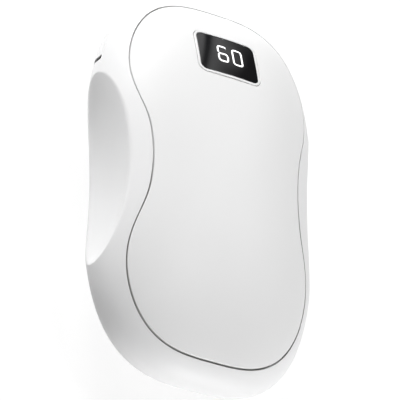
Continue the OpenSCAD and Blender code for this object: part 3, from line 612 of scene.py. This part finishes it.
# Holes for the button and the socket
button_y, button_hole = 37.366, (8.4, 4.8, 2.3)
button_at = np.array([side_x(button_y), button_y, 0])
button_out = np.array([0.92220258, 0.38670712, 0])
button_along = np.array([-button_out[1], button_out[0], 0])
upright = np.array([0.0, 0.0, 1.0])
button_axes = (button_at, button_along, upright, button_out)
socket_at, socket_hole = np.array([0, 51.0, -0.1]), (9.2, 3.5, 1.68)
socket_axes = (socket_at, np.array([-1.0, 0, 0]), upright, np.array([0, 1.0, 0]))
cutters = [
    mouth("button_hole", button_axes, button_hole, deep=3.4, flare=0.2),
    mouth("socket_hole", socket_axes, socket_hole, deep=3.0, flare=0.3),
    tunnel,
]
cutters += add_pegs(pilot_r, pilot_l + proud, mid_height + proud)
combine(housing, joined("cutters", cutters), "DIFFERENCE")
smooth(housing)
finish(housing, moulded("shell_plastic", (0.84, 0.84, 0.84), (0.815, 0.815, 0.82), 0.5))

# Painted shade darkens the seam's walls towards the foot end
painted_seam_shade = moulded("painted_seam_shade", (0.84, 0.84, 0.84), (0.81, 0.81, 0.81), 0.55, patch=200.0)
seam_shade_from, seam_shade_full = 2, -12
tree = painted_seam_shade.node_tree
along = axis_of(tree, object_point(tree), "Y")
stain(painted_seam_shade, fade_of(tree, along, seam_shade_from * mm, seam_shade_full * mm), (0.55, 0.55, 0.54))


def face_middles(piece):
    """Middles of a piece's faces in mm, from the body's middle plane."""
    faces = piece.data.polygons
    middles = np.empty(len(faces) * 3, np.float32)
    faces.foreach_get("center", middles)
    return middles.reshape(-1, 3).astype(float) / mm - lift


def face_line(piece, chosen, material):
    """Gives the chosen faces of a piece a further material."""
    faces = piece.data.polygons
    worn = np.empty(len(faces), np.int32)
    faces.foreach_get("material_index", worn)
    worn[chosen] = len(piece.data.materials)
    piece.data.materials.append(material)
    faces.foreach_set("material_index", worn)


def line_seam(piece):
    """Gives the seam's two walls, down to the ledge, the material with the painted seam shade."""
    x, y, z = face_middles(piece).T
    t = np.arctan2(y, x)
    beyond = np.hypot(x, y) - panel_r(t)
    under = dome(t, panel_r(t)) - np.abs(z)
    walls = (np.abs(beyond - panel_gap / 2) < panel_gap / 2 + 2 * seam_ease)
    walls &= (under > lip) & (under < seat_drop + seam_spare)
    face_line(piece, walls, painted_seam_shade)


line_seam(housing)

# Painted shade darkens the lanyard's tunnel: the faces near the slot and under the skin
tunnel_reach = np.array([8, 6.5, slot_w / 2 + 0.1])
tunnel_skin = 0.035
middles = face_middles(housing)
in_tunnel = (np.abs(middles - slot_at) < tunnel_reach).all(1)
in_tunnel &= over_crown(middles) < -tunnel_skin
face_line(housing, in_tunnel, moulded("painted_tunnel_shade", (0.3, 0.3, 0.29), (0.25, 0.25, 0.24), 0.7))
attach(housing, "warmer")
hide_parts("housing")


# ---- Heating panels -----------------------------------------------------------------------
# Two moulded sheets of the same white ABS, each crowned like the body and drawn in at the waist.
# They snap on to the housing's ledges with four hooks, and the front one has the display's window.
panel_columns, crown_rings, under_rings = 480, 30, 8
rest_soft, nick = 0.2, 0.05
hook_in, hook_drop, hook_w, hook_t = 2.1, 5.2, 5.0, 1.2
barb_from, barb_to = -0.6, 0.75
display_y, window_box = 32.5, (18.1, 13.6, 2.5)
display_z = half_t * math.sqrt(1 - (display_y / half_l) ** 2)
display_tilt = math.atan(half_t**2 * display_y / (half_l**2 * display_z))
display_axes = (
    np.array([0, display_y, display_z]), np.array([1.0, 0, 0]),
    np.array([0, math.cos(display_tilt), -math.sin(display_tilt)]),
    np.array([0, math.sin(display_tilt), math.cos(display_tilt)]),
)


def place_panel(face):
    """Places for a ball that becomes a panel, facing up or down, and its number of rings."""
    t = 2 * math.pi * np.arange(panel_columns) / panel_columns
    edge = panel_r(t) - seam_ease
    out = edge - lip

    def crown(r):
        z = dome(t, r)
        return z if face > 0 else soft_min(z, np.full_like(z, mid_height), rest_soft)

    def swept(r, rings):
        return [r * math.sin(math.pi / 2 * k / rings) for k in range(rings + 1)]

    rows = [(r, crown(r)) for r in swept(out, crown_rings)]
    rows += eased((out, crown(out)), (edge, crown(edge)), (edge, crown(edge) - lip), 4)
    low = dome(t, edge) - panel_t
    rows += [(edge, crown(edge) - panel_t / 2), (edge, low + nick), (edge - nick, low)]
    rows += [(r, dome(t, r) - panel_t) for r in swept(edge, under_rings)[-2::-1]]
    r, z = np.array(rows).transpose(1, 0, 2)

    def place(column, ring):
        a = t[column]
        x, y, h = r[ring, column] * np.cos(a), r[ring, column] * np.sin(a), z[ring, column]
        return np.stack([x, y, mid_height + face * h], 1)

    return place, len(rows) - 1


def hooks(face):
    """Four snap hooks under a panel, each a post with a barb that reaches under the ledge."""
    made = []
    for t in (0, math.pi / 2, math.pi, 3 * math.pi / 2):
        edge = float(panel_r(t)) - hook_in
        top = float(dome(t, edge)) - panel_t / 2
        low = top - hook_drop
        for inner, outer, upper in ((-hook_t, 0, top), (barb_from, barb_to, low + hook_t)):
            r = edge + (inner + outer) / 2
            made.append(add_block(
                (outer - inner, hook_w, upper - low),
                (r * math.cos(t), r * math.sin(t), mid_height + face * (low + upper) / 2), t,
            ))
    return joined("hooks", made)


panel_plastic = moulded("panel_plastic", (0.84, 0.84, 0.84), (0.82, 0.82, 0.82), 0.5, patch=60.0)
for name, face in (("front_panel", 1), ("rear_panel", -1)):
    place, rings = place_panel(face)
    panel = shaped_ball(name + "_sheet", panel_columns, rings, place)
    if face > 0:
        window = mouth("window", display_axes, window_box, deep=4, flare=0.12)
        combine(panel, window, "DIFFERENCE")
    panel = joined(name + "_sheet", [panel, hooks(face)])
    smooth(panel)
    finish(panel, panel_plastic)
    # The panel's side of the seam gets the same painted shade
    line_seam(panel)
    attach(panel, "warmer")
    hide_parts(name)


# ---- Display ------------------------------------------------------------------------------
# A gloss-white moulded bezel with a flange under the panel, round a smoked acrylic lens that is
# black until the lit digits behind it, a six and a nought, show as white strokes.
lens_w, lens_h, lens_r, lens_t = 16.5, 12.0, 1.7, 1.0
lens_rise, lens_ease, lens_crown_rings = 0.07, 0.12, 14
crown_radius, bezel_rise = 110.0, 0.15


def at_display(points):
    """Points given across, up and out of the window, moved to their place on the body."""
    origin, across, upward, outward = display_axes
    return (
        lift + origin + points[:, :1] * across + points[:, 1:2] * upward
        + points[:, 2:] * outward
    )


def crown_cap(flat, rise):
    return rise - crown_radius + np.sqrt(crown_radius**2 - (flat**2).sum(1))


# The bezel's rows: offset out from the lens's outline, height, and 1 where it follows the crown
bezel_in, bezel_out, bezel_ease, bezel_skirt = 0.05, 0.65, 0.12, -1.2
face_out, face_in = 0.45, 0.3
flange_out, flange_top, flange_foot = 1.45, -2.25, -2.95
lens_seat_in, lens_seat = -0.7, -1.05
bezel_rows = [
    (flange_out, (flange_top + flange_foot) / 2, 0), (flange_out, flange_top, 0),
    (bezel_out, flange_top, 0), (bezel_out, bezel_skirt, 0), (bezel_out, -bezel_ease, 1),
]
bezel_rows += [(a, b, 1) for a, b in eased(
    (bezel_out, -bezel_ease), (bezel_out, 0), (bezel_out - bezel_ease, 0), 4)]
bezel_rows += [(face_out, 0, 1), (face_in, 0, 1), (bezel_in + bezel_ease, 0, 1)]
bezel_rows += [(a, b, 1) for a, b in eased(
    (bezel_in + bezel_ease, 0), (bezel_in, 0), (bezel_in, -bezel_ease), 4)]
bezel_rows += [
    (bezel_in, lens_seat, 0), (lens_seat_in, lens_seat, 0),
    (lens_seat_in, flange_foot, 0), (flange_out, flange_foot, 0),
]
bezel_table = np.array(bezel_rows)
bezel_points, bezel_normals = round_box(lens_w, lens_h, lens_r, corner=14, side=10)


def place_bezel(column, row):
    offset, height, crowned = bezel_table[row].T
    flat = bezel_points[column] + bezel_normals[column] * offset[:, None]
    z = height + np.where(crowned > 0, crown_cap(flat, bezel_rise), 0)
    return at_display(np.column_stack([flat, z]))


bezel = shaped_ring("bezel_ring", len(bezel_points), len(bezel_table), place_bezel)
smooth(bezel)
finish(bezel, moulded("bezel_gloss", (0.86, 0.86, 0.86), (0.84, 0.84, 0.84), 0.22, relief=0.001))
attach(bezel, "warmer")
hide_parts("display_bezel")


def cushion(points, normals, crown, ease, rings, foot):
    """Places for a ball that becomes a crowned slab with an eased edge, flat underneath."""
    edge = [(-ease, 0.0)] + eased((-ease, 0.0), (0.0, 0.0), (0.0, -ease), 5)

    def place(column, ring):
        p, n = points[column], normals[column]
        share = np.sin(math.pi / 2 * np.minimum(ring, rings) / rings)[:, None]
        flat = (p - n * ease) * share
        drop = np.zeros(len(column))
        for k, (offset, down) in enumerate(edge):
            on = ring == rings + k
            flat[on], drop[on] = (p + n * offset)[on], down
        z = crown(flat) + drop
        below = ring >= rings + len(edge)
        flat[below] = p[below]
        flat[ring == rings + len(edge) + 1] = 0
        return np.column_stack([flat, np.where(below, foot, z)])

    return place, rings + len(edge) + 1


lens_place, lens_rings = cushion(
    bezel_points, bezel_normals, lambda flat: crown_cap(flat, lens_rise),
    lens_ease, lens_crown_rings, -lens_t)
lens = shaped_ball("lens_window", len(bezel_points), lens_rings,
                   lambda column, ring: at_display(lens_place(column, ring)))
smooth(lens)

# The smoked lens scatters a little of the digits' light round them
spill, start, end = new_group(
    "spilled_light", {"Light": (0.03, 0.03, 0.03), "Reach": 0.006}, ["Colour"])
glow_at = at_display(np.array([[0.7, 0.5, 0]]))[0] * mm
away = fade_of(spill, distance_from(spill, glow_at), 0, start["Reach"], "SMOOTHERSTEP")
spill.links.new(blend_of(spill, away, start["Light"], (0, 0, 0)), end["Colour"])
smoked = moulded("smoked_acrylic", (0.012, 0.012, 0.013), (0.007, 0.007, 0.008), 0.06,
                 patch=140.0, swing=0.06, relief=0.0, Emission_Strength=1.0)
tree, inputs, _ = parts_of(smoked)
glow = tree.nodes.new("ShaderNodeGroup")
glow.node_tree = spill
tree.links.new(glow.outputs["Colour"], inputs["Emission Color"])
finish(lens, smoked)
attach(lens, "warmer")
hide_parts("display_lens")

# The digits are light guides, evenly lit from behind with a faint mottle
lit = moulded("lit_digit", (0.9, 0.9, 0.9), (0.82, 0.82, 0.83), 0.3, grain=3000.0, patch=700.0,
              swing=0.05, relief=0.0, Emission_Strength=1.15)
tree, inputs, mottle = parts_of(lit)
tree.links.new(mottle, inputs["Emission Color"])
dress(lit, "display_digits")
dress(moulded("light_mask", (0.012, 0.012, 0.012), (0.02, 0.02, 0.02), 0.6), "display_block")


# ---- Power button -------------------------------------------------------------------------
# A moulded cap, crowned like the side, with a flange that keeps it in its hole and a round stem
# that presses the switch on the board.
button_l, button_h, button_r = 8.0, 4.4, 2.112
button_rise, button_crown, button_inner, button_ease = 0.5, 7.42, -3.0, 0.45
cap_crown_rings = 12
flange_t, flange_l, flange_h = 0.8, 9.8, 2.2
stem_r, stem_l, stem_ease = 1.2, 1.1, 0.1
button_points, button_normals = round_box(button_l, button_h, button_r, corner=12, side=9)
cap_place, cap_rings = cushion(
    button_points, button_normals,
    lambda flat: np.sqrt((button_crown + button_rise) ** 2 - flat[:, 1] ** 2) - button_crown,
    button_ease, cap_crown_rings, button_inner - flange_t)


def place_button(column, ring):
    side = cap_place(column, ring) @ np.array([button_along, upright, button_out])
    return button_at + lift + side


cap = shaped_ball("cap", len(button_points), cap_rings, place_button)
turn = math.atan2(button_out[1], button_out[0])
flange = add_block((flange_t, flange_l, flange_h),
                   button_at + lift + button_out * (button_inner - flange_t / 2), turn)
bpy.ops.mesh.primitive_cylinder_add(vertices=40, radius=stem_r * mm, depth=stem_l * mm)
stem = bpy.context.object
bevel_all(stem, stem_ease, 2)
stem.rotation_euler = (0, math.pi / 2, turn)
stem_at = button_at + lift + button_out * (button_inner - flange_t / 2 - stem_l / 2)
stem.location = stem_at * mm
settle(stem)
power_button = joined("button_cap", [cap, flange, stem])
smooth(power_button)
finish(power_button, moulded("button_plastic", (0.84, 0.84, 0.84), (0.81, 0.81, 0.815), 0.42))
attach(power_button, "power_button")
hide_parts("power_button")


# ---- Charging socket ----------------------------------------------------------------------
# A drawn stainless shell with a rolled mouth, soldered under the board. A black nylon tongue
# stands in it with two rows of gilt contact strips.
socket_z = mid_height + socket_at[2]
socket_mouth, socket_back, socket_skin = 51.5, 44.1, 0.3
socket_w, socket_h, socket_r = 8.9, 3.2, 1.536
tongue_size, tongue_y, tongue_ease = (6.7, 5.05, 0.7), 46.975, 0.1
strip_size, strip_y, strip_pitch, strip_rise, strip_count = (0.26, 3.4, 0.04), 47.3, 0.5, 0.355, 12

# Drawn or rolled metal: fine lines along one way, with an uneven sheen
drawn_metal, start, end = new_group("drawn_metal", {
    "Colour": (0.6, 0.6, 0.6), "Drift": (0.5, 0.5, 0.5), "Lines": 900.0, "Stretch": 0.03,
    "Roughness": 0.3, "Swing": 0.2,
})
stretch = drawn_metal.nodes.new("ShaderNodeCombineXYZ")
for axis, value in (("X", 1), ("Y", start["Stretch"]), ("Z", 1)):
    feed(drawn_metal, stretch.inputs[axis], value)
pulled = drawn_metal.nodes.new("ShaderNodeVectorMath")
pulled.operation = "MULTIPLY"
drawn_metal.links.new(object_point(drawn_metal), pulled.inputs[0])
drawn_metal.links.new(stretch.outputs[0], pulled.inputs[1])
lines = noise_of(drawn_metal, pulled.outputs[0], start["Lines"], 4.0)
end_finish(drawn_metal, start, end, lines, lines)


def metal(name, colour, drift, rough, lines=900.0, along=0.03):
    return new_material(name, drawn_metal, 0.002, {
        "Colour": colour, "Drift": drift, "Lines": lines, "Stretch": along, "Roughness": rough,
    }, Metallic=1.0)


# The shell's rows: offset out from its outline, and distance along the body. The mouth is rolled,
# and the first and last rows close up in the middle.
shell_rows = np.array([
    (-socket_h, socket_back + socket_skin), (-socket_skin, socket_back + socket_skin),
    (-socket_skin, socket_mouth - socket_skin),
    (-0.24, socket_mouth - 0.08), (-0.12, socket_mouth), (-0.05, socket_mouth - 0.04),
    (0.0, socket_mouth - 0.14),
    (0.0, socket_back + 0.15), (-0.15, socket_back), (-socket_h, socket_back),
])
shell_points, shell_normals = round_box(socket_w, socket_h, socket_r, corner=12, side=9)


def place_shell(column, ring):
    offset, along = shell_rows[ring].T
    flat = shell_points[column] + shell_normals[column] * offset[:, None]
    middle = (ring == 0) | (ring == len(shell_rows) - 1)
    flat = np.where(middle[:, None], 0, flat)
    return np.column_stack([-flat[:, 0], along, flat[:, 1] + socket_z])


shell = shaped_ball("socket_shell", len(shell_points), len(shell_rows) - 1, place_shell)
smooth(shell)
finish(shell, metal("socket_stainless", (0.62, 0.62, 0.63), (0.5, 0.5, 0.51), 0.28))
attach(shell, "warmer")
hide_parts("usb_shell")

tongue = add_block(tongue_size, (0, tongue_y, socket_z))
tongue.name = "socket_tongue"
bevel_all(tongue, tongue_ease, 3)
smooth(tongue)
finish(tongue, moulded("tongue_nylon", (0.02, 0.02, 0.021), (0.03, 0.03, 0.03), 0.5))
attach(tongue, "warmer")
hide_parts("usb_tongue")

contacts = joined("socket_contacts", [
    add_block(strip_size, ((k - (strip_count - 1) / 2) * strip_pitch, strip_y,
                           socket_z + side * strip_rise))
    for k in range(strip_count) for side in (-1, 1)
])
smooth(contacts)
gilt = metal("contact_gilt", (0.75, 0.55, 0.24), (0.66, 0.47, 0.2), 0.25, lines=2000.0)
finish(contacts, gilt)
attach(contacts, "warmer")


# ---- Heat plates, films and pads ----------------------------------------------------------
# Under each panel a pressed aluminium sheet spreads the heat of a polyimide film that carries an
# etched track. A foam pad presses the stack up against the panel.
printed_track, start, end = new_group("printed_track", {
    "Ground": (0.1, 0.1, 0.1), "Track": (0.5, 0.5, 0.5), "Pitch": 500.0, "Share": 0.5,
    "Ground Roughness": 0.5, "Track Roughness": 0.3,
})
bars = printed_track.nodes.new("ShaderNodeTexWave")
bars.wave_type = "BANDS"
bars.bands_direction = "Y"
bars.wave_profile = "TRI"
bars.inputs["Distortion"].default_value = 0
printed_track.links.new(object_point(printed_track), bars.inputs["Vector"])
printed_track.links.new(start["Pitch"], bars.inputs["Scale"])
on_track = sum_of(printed_track, "GREATER_THAN", bars.outputs["Fac"], start["Share"])
printed_track.links.new(
    blend_of(printed_track, on_track, start["Ground"], start["Track"]), end["Colour"])
gap = sum_of(printed_track, "SUBTRACT", start["Track Roughness"], start["Ground Roughness"])
printed_track.links.new(
    sum_of(printed_track, "MULTIPLY_ADD", on_track, gap, start["Ground Roughness"]),
    end["Roughness"])
printed_track.links.new(on_track, end["Height"])


def printed(name, ground, track, pitch, share):
    return new_material(name, printed_track, 0.02, {
        "Ground": ground, "Track": track, "Pitch": pitch, "Share": share,
    })


dress(metal("plate_aluminium", (0.78, 0.79, 0.8), (0.66, 0.67, 0.68), 0.35),
      "front_heat_plate", "rear_heat_plate")
dress(printed("film_polyimide", (0.42, 0.19, 0.03), (0.62, 0.34, 0.12), 55.0, 0.45),
      "front_heating_film", "rear_heating_film")

# Open-cell foam: rounded pits, rougher in their depths and darkened there by painted shade
foam_cells, start, end = new_group("foam_cells", {
    "Colour": (0.1, 0.1, 0.1), "Pit_Shade": (0.04, 0.04, 0.04), "Cells": 1800.0, "Roughness": 0.9,
})
pits = foam_cells.nodes.new("ShaderNodeTexVoronoi")
foam_cells.links.new(object_point(foam_cells), pits.inputs["Vector"])
foam_cells.links.new(start["Cells"], pits.inputs["Scale"])
depth = pits.outputs["Distance"]
foam_cells.links.new(blend_of(foam_cells, depth, start["Pit_Shade"], start["Colour"]), end["Colour"])
uneven = sum_of(foam_cells, "MULTIPLY", depth, 0.1)
foam_cells.links.new(
    sum_of(foam_cells, "SUBTRACT", start["Roughness"], uneven), end["Roughness"])
foam_cells.links.new(depth, end["Height"])
foam = new_material("pad_foam", foam_cells, 0.2, {
    "Colour": (0.09, 0.09, 0.095), "Pit_Shade": (0.02, 0.02, 0.022), "Cells": 1500.0, "Roughness": 0.92,
})
dress(foam, "front_pad", "rear_pad")


# ---- Cells --------------------------------------------------------------------------------
# Two round lithium cells in blue-green shrink sleeves, bare steel at both ends, with fibre
# washers under the plus ends and nickel links spot-welded across them.
sleeve_top, sleeve_foot = 29.45, -34.35
sleeve = moulded("cell_sleeve", (0.02, 0.27, 0.3), (0.015, 0.22, 0.25), 0.32, grain=500.0,
                 patch=120.0, swing=0.12, relief=0.01)
tree = sleeve.node_tree
along = axis_of(tree, object_point(tree), "Y")
bare = sum_of(tree, "MAXIMUM", sum_of(tree, "GREATER_THAN", along, sleeve_top * mm),
              sum_of(tree, "LESS_THAN", along, sleeve_foot * mm))
stain(sleeve, bare, (0.6, 0.6, 0.6), bare_metal=True)
dress(sleeve, "battery_cell_left", "battery_cell_right")
dress(moulded("washer_fibre", (0.8, 0.79, 0.74), (0.7, 0.69, 0.64), 0.85, grain=1200.0,
              relief=0.02), "cell_washers")
dress(metal("link_nickel", (0.66, 0.64, 0.6), (0.52, 0.5, 0.47), 0.32, along=0.3),
      "cell_link_top", "cell_link_bottom")


# ---- Cradle and screws --------------------------------------------------------------------
# A tray moulded from grey glass-filled nylon clamps the cells. Four zinc-plated screws hold it
# to the housing's bosses.
dress(moulded("cradle_nylon", (0.27, 0.28, 0.29), (0.2, 0.21, 0.22), 0.62, grain=1500.0,
              patch=900.0, swing=0.2, relief=0.01), "battery_cradle")
dress(metal("screw_zinc", (0.62, 0.62, 0.62), (0.5, 0.49, 0.46), 0.3, lines=1500.0, along=1.0),
      "case_screws")


# ---- Boards and their parts ---------------------------------------------------------------
# Glass-epoxy boards under green resist carry etched tracks. The parts are epoxy, ferrite,
# ceramic and nylon, each soldered on.
dress(printed("board_resist", (0.012, 0.1, 0.035), (0.03, 0.2, 0.07), 160.0, 0.72),
      "main_board", "display_board")
dress(moulded("chip_epoxy", (0.022, 0.022, 0.024), (0.035, 0.035, 0.037), 0.6, grain=5000.0,
              relief=0.006), "charge_chip", "control_chip")
dress(moulded("ferrite", (0.06, 0.06, 0.063), (0.035, 0.035, 0.037), 0.7, grain=3500.0,
              patch=1200.0, relief=0.01), "power_inductor")

# Ceramic capacitors have tinned ends
body_half = 1.1
ceramic = moulded("capacitor_ceramic", (0.5, 0.36, 0.2), (0.42, 0.3, 0.17), 0.5, grain=4000.0,
                  patch=900.0)
tree = ceramic.node_tree
low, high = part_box("board_capacitors")
middle = (low.x + high.x) / 2
off_centre = sum_of(tree, "ABSOLUTE", sum_of(
    tree, "SUBTRACT", axis_of(tree, object_point(tree), "X"), middle))
tinned = sum_of(tree, "GREATER_THAN", off_centre, body_half * mm)
stain(ceramic, tinned, (0.7, 0.7, 0.68), bare_metal=True)
dress(ceramic, "board_capacitors")
dress(moulded("plug_nylon", (0.78, 0.74, 0.62), (0.72, 0.68, 0.56), 0.5),
      "front_heater_plug", "rear_heater_plug")
dress(gilt, "display_header")


# ---- Leads, sensor and fuse ---------------------------------------------------------------
# Silicone-sleeved leads run from the cells, the films and an epoxy-dipped sensor bead to the
# board. A ceramic fuse lies in the groove between the cells.
dress(moulded("lead_red", (0.5, 0.02, 0.015), (0.42, 0.015, 0.012), 0.42, patch=400.0),
      "front_heater_lead", "rear_heater_lead", "battery_plus_lead")
dress(moulded("lead_black", (0.02, 0.02, 0.02), (0.03, 0.03, 0.03), 0.42, patch=400.0),
      "battery_minus_lead")
dress(moulded("bead_epoxy", (0.015, 0.015, 0.016), (0.03, 0.03, 0.03), 0.3, patch=600.0),
      "thermistor")
dress(moulded("fuse_ceramic", (0.78, 0.77, 0.74), (0.7, 0.69, 0.66), 0.45, patch=500.0),
      "thermal_fuse")


# ---- Switch -------------------------------------------------------------------------------
# A tactile switch of grey nylon, soldered to the board, with a black plunger that the power
# button's stem pushes.
dress(moulded("switch_nylon", (0.16, 0.16, 0.17), (0.12, 0.12, 0.13), 0.5), "switch_body")
dress(moulded("plunger_nylon", (0.015, 0.015, 0.015), (0.025, 0.025, 0.025), 0.4),
      "switch_plunger")


# ---- Floor, backdrop and light ------------------------------------------------------------
# A white floor that throws light back up and keeps the warmer's soft shadow, a dark card that
# shades the left flank, white surroundings, and six large soft lamps round and above.
bpy.ops.mesh.primitive_plane_add(size=8)
floor = bpy.context.object
floor.name = "floor"
edit_all(floor)
bpy.ops.mesh.subdivide(number_cuts=4)
bpy.ops.object.mode_set(mode="OBJECT")


def seen_by(tree, *kinds):
    """Socket that is 1 for rays of any of these kinds."""
    rays = tree.nodes.new("ShaderNodeLightPath")
    share = rays.outputs[f"Is {kinds[0]} Ray"]
    for kind in kinds[1:]:
        share = sum_of(tree, "MAXIMUM", share, rays.outputs[f"Is {kind} Ray"])
    return share


def shader_of(tree, kind, socket, value):
    """Shader node of a kind with one of its inputs set or fed."""
    node = tree.nodes.new("ShaderNode" + kind)
    feed(tree, node.inputs[socket], value)
    return node


def choice_of(tree, share, one, two):
    """Shader mixed from one to two by a share."""
    node = tree.nodes.new("ShaderNodeMixShader")
    for k, socket in enumerate((share, one, two)):
        tree.links.new(socket, node.inputs[k])
    return node.outputs[0]


# White paper: what is seen of it is plain white under the warmer's faint shadow, and what it
# throws back falls off towards a dark card that lies on it
card_at, card_half, card_clear = (-50, -46, 0), 15, 40
paper = bpy.data.materials.new("floor_paper")
tree, surface = empty_tree(paper, "Material")
off_card = fade_of(tree, distance_from(tree, [length * mm for length in card_at]),
                   card_half * mm, card_clear * mm)
matt = shader_of(tree, "BsdfDiffuse", "Color",
                 blend_of(tree, off_card, (0.02, 0.02, 0.02), (0.85, 0.85, 0.85)))
shade = shader_of(tree, "BsdfDiffuse", "Color", (0.2, 0.2, 0.2))
glow = shader_of(tree, "Emission", "Strength", 0.86)
white = shader_of(tree, "AddShader", 0, shade.outputs[0])
feed(tree, white.inputs[1], glow.outputs[0])
tree.links.new(
    choice_of(tree, seen_by(tree, "Camera", "Glossy", "Transmission"),
              matt.outputs[0], white.outputs[0]), surface)
floor.data.materials.append(paper)

# The studio round it is white behind the warmer. Gloss shows it dim, with a bright card and a
# card that fades out, side by side to the right of the display.
world = bpy.data.worlds.new("surroundings")
bpy.context.scene.world = world
tree, surface = empty_tree(world, "World")
around = tree.nodes.new("ShaderNodeTexCoord").outputs["Generated"]
turn = tree.nodes.new("ShaderNodeTexGradient")
turn.gradient_type = "RADIAL"
tree.links.new(around, turn.inputs[0])
# How bright gloss shows the studio at angles round it, in degrees
stops = [(44, 0.1), (50, 0), (55.4, 0), (57, 0.12), (58.8, 0.28), (60.3, 0.5), (61.6, 0.75),
         (62.4, 0.75), (62.8, 0.6), (63.2, 0.25), (63.5, 0), (64.2, 0), (64.6, 0.6), (64.9, 0.85),
         (66, 0.95), (69, 0.8), (72, 0.1)]
first, last = stops[0][0], stops[-1][0]
sector = fade_of(tree, turn.outputs["Fac"], 0.5 + first / 360, 0.5 + last / 360, "LINEAR")
cards = tree.nodes.new("ShaderNodeValToRGB")
tree.links.new(sector, cards.inputs["Fac"])
ramp = cards.color_ramp.elements
for k, (angle, share) in enumerate(stops):
    place = (angle - first) / (last - first)
    stop = ramp[0] if k == 0 else ramp[-1] if angle == last else ramp.new(place)
    stop.color = (share, share, share, 1)

# The cards stand between two heights above the floor, given as sines, with soft edges
card_foot, card_top = (0.2, 0.3), (0.68, 0.58)
rise = axis_of(tree, around, "Z")
band = sum_of(tree, "MULTIPLY", *(fade_of(tree, rise, *edge) for edge in (card_foot, card_top)))
dim = shader_of(tree, "Background", "Strength", 1.3)
feed(tree, dim.inputs["Color"], blend_of(tree, band, (0.1, 0.1, 0.1), cards.outputs["Color"]))
bright = shader_of(tree, "Background", "Strength", 1.0)
dark = shader_of(tree, "Background", "Strength", 0.0)
gloss = choice_of(tree, seen_by(tree, "Glossy"), dark.outputs[0], dim.outputs[0])
tree.links.new(
    choice_of(tree, seen_by(tree, "Camera", "Transmission"), gloss, bright.outputs[0]), surface)


lamp_size, lamp_reach = 0.5, 1.2


def lamp(name, turn, height, power):
    """Square soft lamp that faces the warmer, at an angle round it and above the floor."""
    data = bpy.data.lights.new(name, "AREA")
    data.shape = "SQUARE"
    data.size = lamp_size
    data.energy = power
    light = bpy.data.objects.new(name, data)
    turn, height = math.radians(turn), math.radians(height)
    toward = Vector((math.cos(turn) * math.cos(height), math.sin(turn) * math.cos(height),
                     math.sin(height)))
    light.location = Vector((0, 0, half_t * mm)) + toward * lamp_reach
    light.rotation_euler = toward.to_track_quat("Z", "Y").to_euler()
    bpy.context.scene.collection.objects.link(light)


lamp("end_lamp", 112.5, 25, 12.9)
lamp("left_lamp", 157.5, 8, 3.8)
lamp("foot_lamp", 247.5, 8, 2.1)
lamp("near_lamp", 292.5, 8, 11.9)
lamp("far_lamp", 45, 45, 3.0)
lamp("high_lamp", 45, 70, 4.7)
